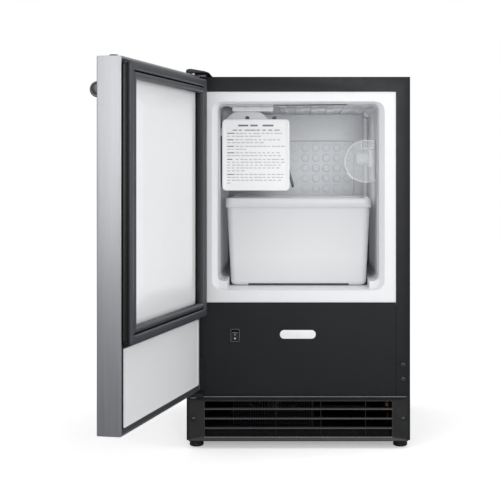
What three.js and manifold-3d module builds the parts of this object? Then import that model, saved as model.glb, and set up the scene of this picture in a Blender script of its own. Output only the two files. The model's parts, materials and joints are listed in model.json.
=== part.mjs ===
// Undercounter ice maker, 15 inch class, with its side-hinged door standing open.
// A steel wrapper is foamed round a white liner. The liner holds the freezing plates, the automatic
// ice maker, its thermostat and a lift-out ice bin. The refrigeration machinery stands on a pan below.
// Units are millimetres. X runs to the viewer's right, Y away from the viewer, and Z up from the floor.
// Pieces are drawn round the cabinet: X = 0 is its middle, Y = 0 its front plane and Z = 0 the floor.

import * as THREE from "three";
import { mergeVertices } from "three/addons/utils/BufferGeometryUtils.js";
import Module from "manifold-3d";

const wasm = await Module();
wasm.setup();

// ---------------------------------------------------------------- driving dimensions

// Shared clearances
const gap = 0.3; // between two pieces that touch
const runningGap = 0.35; // round a shaft or stem that moves in its hole
const overrun = 5; // how far a cutting tool runs past what it cuts

// Cabinet
const cabinetWidth = 375;
const cabinetDepth = 395;
const cabinetTop = 622;
const skirtBottom = 13; // lower edge of the side walls
const sheet = 1; // painted steel
const cabinetCorner = 3;
const stileWidth = 24;
const railHeight = 25;
const flangeTuck = 6; // how far the liner's flange runs behind the stiles
const kickTop = 87.6;
const kickBottom = 12.5;
const linerSeam = 244; // where the white flange meets the lower front panel

// Liner and freezing plates
const linerWall = 2;
const linerFlare = 9; // width of the sloped mouth at each side
const flareDepth = 12;
const flareTopDrop = 4;
const sideInsulation = 51.5; // cabinet side to cavity wall
const topInsulation = 45;
const rearInsulation = 52;
const mouthCorner = 16;
const cavityCorner = 10;
const troughFloor = 266; // the bin stands in a trough below the side ledges
const ledgeHeight = 13;
const troughMargin = 16.2; // ledge width at each side
const plateThickness = 1.5;
const plateSetback = 3; // freezing plates start this far behind the sloped mouth

// Ice bin
const binWall = 2.5;
const binSideClearance = 2.4; // to the trough at the foot of the bin
const binRimReach = 9; // the rim is this much wider at each side than the foot
const binRimHeight = 16.5;
const binRimStep = 1.6;
const binFront = 60;
const binRearClearance = 14;
const binTopClearance = 13; // below the ice maker
const binFootRound = 8.6;

// Automatic ice maker, hung at the left wall
const coverWidth = 116.3;
const coverHeight = 123;
const coverThickness = 4;
const coverFront = 58;
const coverWallGap = 2.7;
const coverTopGap = 23.5;
const coverCorner = 7;
const headDepth = 40;
const headInset = 6; // head outline inside the cover's outline
const headArch = 47;
const moldWidth = 76;
const moldOffset = -5; // mould's middle from the cover's middle
const moldHeight = 48;
const moldTrough = 30; // radius of the crescent mould
const moldWall = 3;
const moldRearGap = 22;
const ejectorReach = 27;
const ejectorShaft = 3;
const ejectorLift = 3.3; // shaft axis above the mould's rim
const ejectorFingers = 6;
const fingerThickness = 5;
const stripperThickness = 3.5;
const fillCupLength = 24;
const fillCupHeight = 30;
const fillCupWidth = 56;
const fillCupWall = 2;
const spoutWidth = 10;
const fillTubeTail = 12; // behind the cabinet's back
const fillTubeWall = 1.5;
const fillTubeRadius = 5;
const armWire = 1.8;
const armDrop = 64;
const armReach = 17;
const armRearGap = 42;

// Thermostat at the right wall
const guardRadius = 36.5;
const guardWall = 2;
const guardFront = 66;
const guardLength = 30;
const guardTopGap = 60; // cavity ceiling to the guard's rim
const guardWallOverlap = 19; // how far the wall cuts into the round guard
const knobRadius = 12.4;
const knobLength = 20;
const knobLift = 6;

// Lower front, switch and kick grille
const grilleThickness = 6.5;
const grilleInset = 3.6;
const grilleSlats = 3;
const slatThickness = 3.9;
const grilleWindowSide = 27; // solid ends of the grille
const grilleWindowTop = 7.6;
const grilleWindowBottom = 7.5;
const grilleScrewInset = 8.5;
const panelScrewRadius = 3.6;
const switchWidth = 15;
const switchHeight = 21;
const switchLeft = 74; // cabinet side to the switch's near edge
const switchCentreHeight = 189;
const switchDepth = 16;
const rockerLength = 15.2;
const rockerWidth = 10;
const rockerTilt = 12; // degrees each way

// Machine compartment
const deckHeight = 240; // underside of the foamed box
const panFloor = 13.3;
const panSheet = 1.5;
const panLip = 16;
const compressorRadius = 62;
const compressorHeight = 152;
const compressorRightGap = 48;
const compressorRearGap = 40;
const fanRadius = 58;
const fanHub = 17;
const fanBlades = 5;
const fanCentreHeight = 106;
const fanLeftGap = 74; // cabinet side to the fan housing
const condenserWidth = 140;
const condenserDepth = 38;
const condenserHeight = 136;
const condenserFront = 24;
const condenserFins = 13;
const shroudDepth = 26;
const rearVentSlots = 7;
const glandRadius = 9;
const glandBore = 4.5;

// Feet
const footRadius = 12;
const footHeight = 12;
const footStud = 4;
const footSide = 15.5; // cabinet side to the foot's axis
const footFront = 20;
const footStudLength = 26;

// Door
const doorSideInset = 2.5;
const doorThickness = 36;
const doorBottom = 98.6;
const doorGap = 16; // cabinet front to the door's inner face
const doorLip = 2.2; // steel folded round onto the inner face at the sides
const doorLipEnds = 4; // the same at top and bottom
const doorOpenAngle = 102.2; // degrees
const hingeInset = 11; // door edge to the hinge axis
const hingeDepth = 8; // door's inner face to the hinge axis
const frameThickness = 4;
const plugSide = 11; // free edge to the plug of the spare hinge hole
const plugDepth = 14.8; // door's inner face to the same plug
const plugStem = 10;
const plugRim = 2;
const gasketWidth = 21.7;
const gasketHeight = 13.7;
const gasketHead = 13;
const gasketGroove = 1.6;
const gasketTopInset = 6;
const gasketBottom = 224;
const panelMargin = 44;
const panelRise = 7.5;
const lowerPanelInset = 9;
const lowerPanelBottom = 109;
const lowerPanelTop = 219;

// Door handle
const handleRadius = 11.75;
const handleLength = 194;
const handleDrop = 39.5; // door top to the handle's axis
const handleStandoff = 34;
const handlePostRadius = 7;
const handlePostInset = 22;

// Hinges
const hingePin = 4;
const bushingRadius = 6.5;
const bushingLength = 10;
const hingeWidth = 34;
const hingeFrontReach = 42;
const hingeRearReach = 76;
const hingePlate = 3;
const hingeCoverTop = 11;
const hingeCoverWall = 2;
const lowerHingeTop = 152;
const lowerHingeTopFace = 97;
const lowerHingeThickness = 6;
const hingeScrewHeights = [139.6, 115.3];

// ---------------------------------------------------------------- derived places

const halfWidth = cabinetWidth / 2;
const openingHalf = halfWidth - stileWidth;
const openingTop = cabinetTop - railHeight;
const innerHalf = halfWidth - sheet - gap;
const cavityHalf = halfWidth - sideInsulation;
const cavityTop = cabinetTop - topInsulation;
const cavityRear = cabinetDepth - rearInsulation;
const ledgeTop = troughFloor + ledgeHeight;
const troughHalf = cavityHalf - troughMargin;
const mouthHalf = cavityHalf + linerFlare;
const linerFront = sheet + gap;
const linerFlangeBack = linerFront + linerWall;
const plateFront = linerFront + flareDepth + plateSetback;
const plateRear = cavityRear - gap - plateThickness;
const plateHalf = cavityHalf - gap;
const plateInner = plateHalf - plateThickness;
const coverLeft = -plateInner + coverWallGap;
const coverRight = coverLeft + coverWidth;
const coverTop = cavityTop - coverTopGap;
const coverBottom = coverTop - coverHeight;
const headFront = coverFront + coverThickness + gap;
const headRear = headFront + headDepth;
const moldFront = headRear + gap;
const moldRear = plateRear - moldRearGap;
const moldMiddle = coverLeft + coverWidth / 2 + moldOffset;
const moldTop = coverBottom + 70;
const ejectorHeight = moldTop + ejectorLift;
const binTop = coverBottom - binTopClearance;
const binRear = plateRear - binRearClearance;
const binFloor = troughFloor + gap;
const doorHalf = halfWidth - doorSideInset;
const doorInner = -doorGap;
const doorOuter = doorInner - doorThickness;
const hingeX = -doorHalf + hingeInset;
const hingeY = doorInner - hingeDepth;
const fanX = -halfWidth + fanLeftGap + condenserWidth / 2;
const condenserRear = condenserFront + condenserDepth;

// ---------------------------------------------------------------- solids

// A closed mesh with its shared corners merged and its faces turned outwards, ready to join or cut.
function solidOf(geometry) {
  const bare = geometry.index ? geometry.toNonIndexed() : geometry.clone();
  bare.deleteAttribute("normal");
  bare.deleteAttribute("uv");
  const merged = mergeVertices(bare, 1e-4);
  const corners = merged.index.array;
  const faces = [];
  for (let i = 0; i < corners.length; i += 3) {
    const [a, b, c] = [corners[i], corners[i + 1], corners[i + 2]];
    if (a !== b && b !== c && c !== a) faces.push(a, b, c);
  }
  const build = (list) =>
    new wasm.Manifold(
      new wasm.Mesh({
        numProp: 3,
        vertProperties: merged.attributes.position.array,
        triVerts: new Uint32Array(list),
      }),
    );
  const solid = build(faces);
  return solid.volume() < 0 ? build(faces.reverse()) : solid;
}

function geometryOf(solid) {
  const mesh = solid.getMesh();
  const geometry = new THREE.BufferGeometry();
  const points = new THREE.BufferAttribute(new Float32Array(mesh.vertProperties), 3);
  geometry.setAttribute("position", points);
  geometry.setIndex(new THREE.BufferAttribute(new Uint32Array(mesh.triVerts), 1));
  const flat = geometry.toNonIndexed();
  flat.computeVertexNormals();
  return flat;
}

const join = (first, ...others) => others.reduce((sum, other) => sum.add(other), first);
const cut = (body, ...tools) => tools.reduce((rest, tool) => rest.subtract(tool), body);

// Outlines are lists of points. A prism or loft along x reads them as (y, z), along y as (x, z) and
// along z as (x, y).
function rectangle(u0, u1, v0, v1) {
  return [
    new THREE.Vector2(u0, v0),
    new THREE.Vector2(u1, v0),
    new THREE.Vector2(u1, v1),
    new THREE.Vector2(u0, v1),
  ];
}

function roundedRectangle(u0, u1, v0, v1, radius, steps = 4) {
  const corners = [
    [u1 - radius, v1 - radius, 0],
    [u0 + radius, v1 - radius, 1],
    [u0 + radius, v0 + radius, 2],
    [u1 - radius, v0 + radius, 3],
  ];
  const points = [];
  for (const [u, v, quarter] of corners) {
    for (let i = 0; i <= steps; i += 1) {
      const angle = ((quarter + i / steps) * Math.PI) / 2;
      points.push(new THREE.Vector2(u + radius * Math.cos(angle), v + radius * Math.sin(angle)));
    }
  }
  return points;
}

function circle(u, v, radius, sides = 16) {
  const points = [];
  for (let i = 0; i < sides; i += 1) {
    const angle = ((i + 0.5) * 2 * Math.PI) / sides;
    points.push(new THREE.Vector2(u + radius * Math.cos(angle), v + radius * Math.sin(angle)));
  }
  return points;
}

function placeAlong(axis, u, v, along) {
  if (axis === "x") return [along, u, v];
  if (axis === "y") return [u, along, v];
  return [u, v, along];
}

function prism(axis, outline, from, to) {
  const geometry = new THREE.ExtrudeGeometry(new THREE.Shape(outline), {
    depth: to - from,
    bevelEnabled: false,
  });
  const position = geometry.attributes.position;
  for (let i = 0; i < position.count; i += 1) {
    const along = from + position.getZ(i);
    position.setXYZ(i, ...placeAlong(axis, position.getX(i), position.getY(i), along));
  }
  return solidOf(geometry);
}

// A skin through convex outlines with the same number of points, each at its own place on the axis.
function loft(axis, sections) {
  const count = sections[0].outline.length;
  const points = [];
  for (const { outline, at } of sections) {
    for (const point of outline) points.push(...placeAlong(axis, point.x, point.y, at));
  }
  const faces = [];
  for (let s = 0; s < sections.length - 1; s += 1) {
    for (let i = 0; i < count; i += 1) {
      const a = s * count + i;
      const b = s * count + ((i + 1) % count);
      faces.push(a, b, a + count, b, b + count, a + count);
    }
  }
  const last = (sections.length - 1) * count;
  for (let i = 1; i < count - 1; i += 1) {
    faces.push(0, i + 1, i, last, last + i, last + i + 1);
  }
  const geometry = new THREE.BufferGeometry();
  geometry.setAttribute("position", new THREE.Float32BufferAttribute(points, 3));
  geometry.setIndex(faces);
  return solidOf(geometry);
}

const box = (x0, x1, y0, y1, z0, z1) => prism("z", rectangle(x0, x1, y0, y1), z0, z1);
const rod = (axis, u, v, radius, from, to, sides) => prism(axis, circle(u, v, radius, sides), from, to);

// A turned piece: profile points are (radius, height along the axis).
function turned(axis, u, v, profile, sides = 24) {
  const points = profile.map(([radius, height]) => new THREE.Vector2(radius, height));
  const geometry = new THREE.LatheGeometry(points, sides);
  const position = geometry.attributes.position;
  for (let i = 0; i < position.count; i += 1) {
    const place = placeAlong(axis, u + position.getX(i), v + position.getZ(i), position.getY(i));
    position.setXYZ(i, ...place);
  }
  return solidOf(geometry);
}

// A round wire or tube along a path of straight runs with rounded bends.
function wire(points, radius, bend, steps, sides = 8) {
  const corners = points.map((point) => new THREE.Vector3(...point));
  const path = new THREE.CurvePath();
  let start = corners[0];
  for (let i = 1; i < corners.length - 1; i += 1) {
    const corner = corners[i];
    const entry = corner.clone().add(start.clone().sub(corner).setLength(bend));
    const leave = corner.clone().add(corners[i + 1].clone().sub(corner).setLength(bend));
    path.add(new THREE.LineCurve3(start, entry));
    path.add(new THREE.QuadraticBezierCurve3(entry, corner, leave));
    start = leave;
  }
  path.add(new THREE.LineCurve3(start, corners[corners.length - 1]));
  const section = new THREE.Shape(circle(0, 0, radius, sides));
  return solidOf(new THREE.ExtrudeGeometry(section, { steps, extrudePath: path }));
}

// ---------------------------------------------------------------- finishes

function finish(color, roughness, metalness) {
  return new THREE.MeshStandardMaterial({ color, roughness, metalness });
}

const blackPaint = finish(0x2a2b2d, 0.55, 0.3);
const blackPlastic = finish(0x232426, 0.5, 0);
const softBlack = finish(0x303236, 0.75, 0);
const whitePlastic = finish(0xeef0f1, 0.4, 0);
const palePlastic = finish(0xdddee0, 0.45, 0);
const clearPlastic = finish(0xdfe6ea, 0.1, 0);
const steel = finish(0xb4b7bd, 0.35, 0.9);
const castAluminium = finish(0xa9acb0, 0.5, 0.8);
const rolledAluminium = finish(0xb0b2b6, 0.45, 0.7);
const galvanised = finish(0x9a9da0, 0.5, 0.8);
const copper = finish(0xb4714a, 0.35, 0.9);
const foam = finish(0xe6d9a8, 0.9, 0);

function add(group, name, solid, material) {
  const mesh = new THREE.Mesh(geometryOf(solid), material);
  mesh.name = name;
  group.add(mesh);
  return mesh;
}

// ---------------------------------------------------------------- cabinet shell

function cabinetWrapper() {
  const outline = roundedRectangle(
    -halfWidth,
    halfWidth,
    0,
    cabinetDepth + cabinetCorner,
    cabinetCorner,
    3,
  );
  const block = prism("z", outline, skirtBottom, cabinetTop);
  const behind = box(
    -halfWidth - overrun,
    halfWidth + overrun,
    cabinetDepth,
    cabinetDepth + overrun + cabinetCorner,
    skirtBottom - overrun,
    cabinetTop + overrun,
  );
  const hollow = box(
    -halfWidth + sheet,
    halfWidth - sheet,
    sheet,
    cabinetDepth + overrun,
    skirtBottom - overrun,
    cabinetTop - sheet,
  );
  const opening = box(-openingHalf, openingHalf, -overrun, overrun, skirtBottom - overrun, openingTop);
  return cut(block, behind, hollow, opening);
}

function backPanel() {
  const panel = box(
    -innerHalf,
    innerHalf,
    cabinetDepth - sheet,
    cabinetDepth,
    deckHeight + gap,
    cabinetTop - sheet - gap,
  );
  return cut(panel, fillTubeHole(runningGap));
}

// The liner: a flange behind the stiles, a sloped mouth, the cavity and the bin's trough.
function linerCavity(grow) {
  const mouth = roundedRectangle(
    -mouthHalf - grow,
    mouthHalf + grow,
    troughFloor - grow - linerWall,
    cavityTop + flareTopDrop + grow,
    mouthCorner,
  );
  const throat = roundedRectangle(
    -cavityHalf - grow,
    cavityHalf + grow,
    troughFloor - grow,
    cavityTop + grow,
    cavityCorner,
  );
  const throatPlace = linerFront + flareDepth;
  const flare = loft("y", [
    { outline: mouth, at: linerFront - (grow > 0 ? 0 : gap) },
    { outline: throat, at: throatPlace },
  ]);
  const cavity = prism(
    "y",
    roundedRectangle(
      -cavityHalf - grow,
      cavityHalf + grow,
      ledgeTop - grow,
      cavityTop + grow,
      cavityCorner,
    ),
    throatPlace - gap,
    cavityRear + grow,
  );
  const trough = box(
    -troughHalf - grow,
    troughHalf + grow,
    throatPlace - gap,
    cavityRear + grow,
    troughFloor - grow,
    ledgeTop + cavityCorner,
  );
  const sill = prism("y", throat, throatPlace - gap, throatPlace + grow);
  return join(flare, sill, cavity, trough);
}

function innerLiner() {
  const flange = box(
    -openingHalf - flangeTuck,
    openingHalf + flangeTuck,
    linerFront,
    linerFlangeBack,
    linerSeam - flangeTuck,
    openingTop + flangeTuck,
  );
  const shell = join(flange, linerCavity(linerWall));
  return cut(shell, linerCavity(0), fillTubeHole(runningGap));
}

function foamInsulation() {
  const block = box(
    -innerHalf,
    innerHalf,
    linerFlangeBack + gap,
    cabinetDepth - sheet - gap,
    deckHeight,
    cabinetTop - sheet - gap,
  );
  return cut(block, linerCavity(linerWall + gap), fillTubeHole(runningGap));
}

function evaporatorSleeve() {
  const corner = cavityCorner - gap;
  const outer = roundedRectangle(-plateHalf, plateHalf, ledgeTop + gap, cavityTop - gap, corner);
  const inner = roundedRectangle(
    -plateInner,
    plateInner,
    ledgeTop + gap + plateThickness,
    cavityTop - gap - plateThickness,
    corner - plateThickness,
  );
  const sleeve = prism("y", outer, plateFront, plateRear - gap);
  const hollow = prism("y", inner, plateFront - overrun, plateRear + overrun);
  const troughSlot = box(-troughHalf, troughHalf, 0, cabinetDepth, ledgeTop - overrun, ledgeTop + overrun);
  return cut(sleeve, hollow, troughSlot);
}

function evaporatorBackPlate() {
  const corner = cavityCorner - gap;
  const outline = roundedRectangle(-plateHalf, plateHalf, ledgeTop + gap, cavityTop - gap, corner);
  return cut(prism("y", outline, plateRear, plateRear + plateThickness), fillTubeHole(runningGap));
}

// ---------------------------------------------------------------- lower front

function lowerFrontPanel() {
  const panel = box(-openingHalf + gap, openingHalf - gap, 0, sheet, kickTop, linerSeam);
  const lip = box(-openingHalf + gap, openingHalf - gap, 0, flangeTuck, kickTop, kickTop + sheet);
  return cut(join(panel, lip), switchBody(gap));
}

function grilleWindow(index) {
  const low = kickBottom + grilleWindowBottom;
  const high = kickTop - grilleWindowTop;
  const clear = (high - low - grilleSlats * slatThickness) / (grilleSlats + 1);
  const start = low + index * (clear + slatThickness);
  const side = halfWidth - grilleInset - grilleWindowSide;
  return box(-side, side, -grilleThickness - overrun, overrun, start, start + clear);
}

function kickGrille() {
  const half = halfWidth - grilleInset;
  const plate = box(-half, half, -grilleThickness, -gap, kickBottom, kickTop);
  const windows = [];
  for (let i = 0; i <= grilleSlats; i += 1) windows.push(grilleWindow(i));
  const screws = [-1, 1].map((side) => grilleScrewSeat(side));
  return cut(plate, ...windows, ...screws);
}

const grilleScrewX = halfWidth - grilleInset - grilleScrewInset;
const grilleScrewZ = (kickBottom + kickTop) / 2;

function grilleScrewSeat(side) {
  const x = side * grilleScrewX;
  const face = -grilleThickness;
  return rod("y", x, grilleScrewZ, panelScrewRadius + 1.4, face - 1, face + 3);
}

function grilleScrew(side) {
  const x = side * grilleScrewX;
  const seat = -grilleThickness + 3 - gap;
  return rod("y", x, grilleScrewZ, panelScrewRadius, seat - 2, seat, 12);
}

// The switch: a bezel in the panel with a pocket that the rocker tips in.
const switchX = -halfWidth + switchLeft + switchWidth / 2;
const rockerAxisY = 2.5;

function switchBody(grow) {
  const half = switchWidth / 2 - 1.2 + grow;
  const tall = switchHeight / 2 - 1 + grow;
  return box(
    switchX - half,
    switchX + half,
    -overrun * Math.sign(grow) - gap,
    switchDepth + grow,
    switchCentreHeight - tall,
    switchCentreHeight + tall,
  );
}

function switchHousing() {
  const bezel = prism(
    "y",
    roundedRectangle(
      switchX - switchWidth / 2,
      switchX + switchWidth / 2,
      switchCentreHeight - switchHeight / 2,
      switchCentreHeight + switchHeight / 2,
      1.5,
    ),
    -1.8,
    -gap,
  );
  const pocket = box(
    switchX - rockerWidth / 2 - 0.5,
    switchX + rockerWidth / 2 + 0.5,
    -overrun,
    switchDepth - 2,
    switchCentreHeight - rockerLength / 2 - 1.4,
    switchCentreHeight + rockerLength / 2 + 1.4,
  );
  return cut(join(bezel, switchBody(0)), pocket);
}

function powerRocker() {
  const half = rockerLength / 2;
  const profile = [
    [-5.5, -half],
    [0, -half + 1],
    [3, -2.5],
    [3, 2.5],
    [0, half - 1],
    [-5.5, half],
    [-4, 0],
  ];
  const tilt = (rockerTilt * Math.PI) / 180;
  const centre = new THREE.Vector2(0, 0);
  const outline = profile.map(([y, z]) => new THREE.Vector2(y, z).rotateAround(centre, tilt));
  const axis = new THREE.Vector2(rockerAxisY, switchCentreHeight);
  const place = outline.map((point) => point.add(axis));
  return prism("x", place, switchX - rockerWidth / 2, switchX + rockerWidth / 2);
}

// ---------------------------------------------------------------- automatic ice maker

const fillTubeX = moldMiddle;
const fillTubeZ = ejectorHeight + 44;
const fillCupRear = moldRear + 2;
const fillCupFloor = ejectorHeight + ejectorShaft + 1;

function fillTubeHole(clearance) {
  const from = fillCupRear - overrun;
  return rod("y", fillTubeX, fillTubeZ, fillTubeRadius + clearance, from, cabinetDepth + overrun, 12);
}

function icemakerCover() {
  const outline = (inset, corner) =>
    roundedRectangle(coverLeft + inset, coverRight - inset, coverBottom + inset, coverTop - inset, corner);
  const plate = prism("y", outline(0, coverCorner), coverFront, coverFront + coverThickness);
  const recess = prism("y", outline(5, coverCorner - 3), coverFront - 1, coverFront + 1.2);
  return cut(plate, recess);
}

function icemakerHead() {
  const left = coverLeft + headInset;
  const right = coverRight - headInset;
  const archX = coverLeft + headArch + 1;
  const archZ = cavityTop - gap - plateThickness - headArch - 3;
  const block = box(left, right, headFront, headRear, coverBottom + headInset, archZ);
  const arch = rod("y", archX, archZ, headArch, headFront, headRear, 32);
  return join(block, arch);
}

function icemakerBracket() {
  const left = coverLeft + 18;
  const right = left + 70;
  const top = cavityTop - gap - plateThickness - gap;
  const lip = box(left, right, coverFront - 6, headFront - gap, top - 8, top - 6);
  const web = box(left, right, coverFront - 6, coverFront - 4, top - 8, top);
  return join(lip, web);
}

function iceMold() {
  const left = moldMiddle - moldWidth / 2;
  const right = moldMiddle + moldWidth / 2;
  const block = box(left, right, moldFront, moldRear, moldTop - moldHeight, moldTop);
  const trough = rod("y", moldMiddle, moldTop, moldTrough, moldFront + moldWall, moldRear - moldWall, 28);
  return cut(block, trough);
}

const fingerPitch = (fillCupRear - fillCupLength - moldFront - 2 * moldWall) / ejectorFingers;

function fingerPlace(index) {
  return moldFront + moldWall + 1 + (index + 0.5) * fingerPitch;
}

function ejector() {
  let shape = rod("y", moldMiddle, ejectorHeight, ejectorShaft, headRear + gap, moldRear, 12);
  for (let i = 0; i < ejectorFingers; i += 1) {
    const y = fingerPlace(i);
    const finger = box(
      moldMiddle - 3,
      moldMiddle + 3,
      y - fingerThickness / 2,
      y + fingerThickness / 2,
      ejectorHeight,
      ejectorHeight + ejectorReach,
    );
    shape = join(shape, finger);
  }
  return shape;
}

function iceStripper() {
  const right = moldMiddle + moldWidth / 2;
  const front = moldFront + moldWall;
  const rear = fillCupRear - fillCupLength - 2;
  const low = moldTop + gap;
  const comb = box(moldMiddle + ejectorShaft + 3, right, front, rear, low, low + stripperThickness);
  const slots = [];
  for (let i = 0; i < ejectorFingers; i += 1) {
    const y = fingerPlace(i);
    const half = fingerThickness / 2 + 2;
    slots.push(box(moldMiddle, moldMiddle + ejectorReach + 2, y - half, y + half, low - 1, low + 9));
  }
  return cut(comb, ...slots);
}

function fillCup() {
  const front = fillCupRear - fillCupLength;
  const half = fillCupWidth / 2;
  const wall = fillCupWall;
  const rim = fillCupFloor + fillCupHeight;
  const cup = box(moldMiddle - half, moldMiddle + half, front, fillCupRear, fillCupFloor, rim);
  const hollow = box(
    moldMiddle - half + wall,
    moldMiddle + half - wall,
    front + wall,
    fillCupRear - wall,
    fillCupFloor + wall,
    rim + overrun,
  );
  const spout = box(
    moldMiddle - half + 3 * wall,
    moldMiddle - half + 3 * wall + spoutWidth,
    front + 2 * wall,
    fillCupRear - 2 * wall,
    fillCupFloor - overrun,
    fillCupFloor + overrun,
  );
  return cut(cup, hollow, spout);
}

function fillTube() {
  const end = fillCupRear - fillCupLength / 2;
  const tail = cabinetDepth + fillTubeTail;
  const tube = rod("y", fillTubeX, fillTubeZ, fillTubeRadius, end, tail, 12);
  const boreRadius = fillTubeRadius - fillTubeWall;
  const bore = rod("y", fillTubeX, fillTubeZ, boreRadius, end - overrun, tail + overrun, 12);
  return cut(tube, bore);
}

const armAxisX = coverRight - headInset - 6;
const armAxisZ = moldTop;

function shutoffArm() {
  const front = moldFront + 8;
  const rear = moldRear - armRearGap;
  const low = armAxisZ - armDrop;
  const points = [
    [armAxisX, headRear + gap + 0.2, armAxisZ],
    [armAxisX, front, armAxisZ],
    [armAxisX + armReach, front, low],
    [armAxisX + armReach, rear, low],
    [armAxisX, rear, armAxisZ],
    [armAxisX, rear + 14, armAxisZ],
  ];
  return wire(points, armWire, 4, 56, 6);
}

// ---------------------------------------------------------------- thermostat

const guardX = plateInner - guardWallOverlap + 1;
const guardZ = cavityTop - guardTopGap - guardRadius;
const guardWallFace = plateInner - gap;
const knobZ = guardZ + knobLift;
const knobY = guardFront + guardLength / 2 + 2;

function thermostatGuard() {
  const rear = guardFront + guardLength;
  const shell = rod("y", guardX, guardZ, guardRadius, guardFront, rear, 36);
  const inner = guardRadius - guardWall;
  const hollow = rod("y", guardX, guardZ, inner, guardFront + guardWall, rear + overrun, 36);
  const clipZ = guardZ + guardRadius;
  const clip = box(guardX + 2, guardWallFace, guardFront + 4, rear - 4, clipZ - 6, clipZ + 1);
  const beyond = box(guardWallFace, guardWallFace + 60, 0, cabinetDepth, guardZ - 60, guardZ + 60);
  return cut(join(shell, clip), hollow, beyond);
}

function thermostatHousing() {
  const half = guardRadius - guardWall - 7;
  const back = box(guardWallFace - 4, guardWallFace, knobY - 11, knobY + 11, guardZ - half, guardZ + half);
  const block = box(guardWallFace - 12, guardWallFace - 4, knobY - 10, knobY + 10, knobZ - 15, knobZ + 15);
  return join(back, block);
}

function thermostatKnob() {
  const base = guardWallFace - 12 - gap;
  const profile = [
    [0, base - knobLength],
    [knobRadius - 6, base - knobLength],
    [knobRadius - 2.5, base - knobLength + 1.5],
    [knobRadius - 0.8, base - knobLength + 5],
    [knobRadius, base - 4],
    [knobRadius, base],
    [0, base],
  ];
  return turned("x", knobY, knobZ, profile, 20);
}

// ---------------------------------------------------------------- machine compartment

const footPlaces = [
  ["front_left", -1, footFront],
  ["front_right", 1, footFront],
  ["rear_left", -1, cabinetDepth - footFront - 8],
  ["rear_right", 1, cabinetDepth - footFront - 8],
];
const footX = halfWidth - footSide;

function basePan() {
  const front = 2 * flangeTuck;
  const rear = cabinetDepth - sheet - 2 * gap;
  const block = box(-innerHalf, innerHalf, front, rear, panFloor, panFloor + panLip);
  const inner = box(
    -innerHalf + panSheet,
    innerHalf - panSheet,
    front + panSheet,
    rear - panSheet,
    panFloor + panSheet,
    panFloor + panLip + overrun,
  );
  const holes = footPlaces.map(([, side, y]) =>
    rod("z", side * footX, y, footStud + runningGap + 0.1, panFloor - overrun, panFloor + overrun, 12),
  );
  return cut(block, inner, ...holes);
}

function levellingFoot(side, y) {
  const x = side * footX;
  const profile = [
    [0, 0],
    [footRadius - 2, 0],
    [footRadius, 2.5],
    [footRadius, footHeight - 1],
    [footRadius - 1, footHeight],
    [footStud, footHeight],
    [footStud, footHeight + footStudLength],
    [0, footHeight + footStudLength],
  ];
  return turned("z", x, y, profile, 20);
}

const machineFloor = panFloor + panSheet + gap;

function compressor() {
  const x = halfWidth - compressorRightGap - compressorRadius;
  const y = cabinetDepth - compressorRearGap - compressorRadius;
  const foot = machineFloor + 10;
  const profile = [
    [0, foot],
    [compressorRadius * 0.62, foot],
    [compressorRadius * 0.9, foot + 12],
    [compressorRadius, foot + 30],
    [compressorRadius, foot + compressorHeight * 0.55],
    [compressorRadius * 0.97, foot + compressorHeight * 0.75],
    [compressorRadius * 0.8, foot + compressorHeight * 0.92],
    [compressorRadius * 0.45, foot + compressorHeight],
    [0, foot + compressorHeight],
  ];
  const shell = turned("z", x, y, profile, 28);
  const rail = 0.95 * compressorRadius;
  const plate = box(x - rail, x + rail, y - rail, y + rail, foot - 2, foot + 2);
  const grommets = [-1, 1].flatMap((sx) =>
    [-1, 1].map((sy) => rod("z", x + sx * (rail - 10), y + sy * (rail - 10), 8, machineFloor, foot, 12)),
  );
  return join(shell, plate, ...grommets);
}

function condenser() {
  const left = fanX - condenserWidth / 2;
  const right = fanX + condenserWidth / 2;
  const low = fanCentreHeight - condenserHeight / 2;
  const high = fanCentreHeight + condenserHeight / 2;
  const block = box(left, right, condenserFront, condenserRear, low, high);
  const pitch = (condenserWidth - 12) / condenserFins;
  const slots = [];
  for (let i = 0; i < condenserFins; i += 1) {
    const x = left + 6 + (i + 0.5) * pitch;
    const reach = condenserFront + condenserDepth * 0.7;
    slots.push(box(x - pitch * 0.3, x + pitch * 0.3, condenserFront - 1, reach, low + 4, high - 4));
  }
  const skid = box(left, right, condenserFront, condenserRear, machineFloor, low + 1);
  return join(cut(block, ...slots), skid);
}

function fanShroud() {
  const left = fanX - condenserWidth / 2;
  const right = fanX + condenserWidth / 2;
  const front = condenserRear + gap;
  const high = fanCentreHeight + condenserHeight / 2;
  const block = box(left, right, front, front + shroudDepth, machineFloor, high);
  const throat = rod("y", fanX, fanCentreHeight, fanRadius + 4, front - 1, front + shroudDepth + 1, 32);
  return cut(block, throat);
}

const fanFront = condenserRear + gap + 8;
const motorFront = condenserRear + gap + shroudDepth + 6;

function condenserFan() {
  let shape = rod("y", fanX, fanCentreHeight, fanHub, fanFront, fanFront + 16, 20);
  for (let i = 0; i < fanBlades; i += 1) {
    const angle = (i * 2 * Math.PI) / fanBlades;
    const blade = new THREE.BoxGeometry(fanRadius - fanHub + 6, 1.8, 34);
    blade.rotateX(0.45);
    blade.translate((fanRadius + fanHub) / 2 - 3, 0, 0);
    blade.rotateY(angle);
    blade.translate(fanX, fanFront + 8, fanCentreHeight);
    shape = join(shape, solidOf(blade));
  }
  const shaft = rod("y", fanX, fanCentreHeight, 3, fanFront + 12, motorFront - gap, 12);
  return join(shape, shaft);
}

function fanMotor() {
  const body = rod("y", fanX, fanCentreHeight, 30, motorFront, motorFront + 46, 20);
  const post = box(fanX - 12, fanX + 12, motorFront + 8, motorFront + 40, machineFloor, fanCentreHeight);
  const base = box(fanX - 34, fanX + 34, motorFront + 4, motorFront + 44, machineFloor, machineFloor + 2);
  return join(body, post, base);
}

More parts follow.
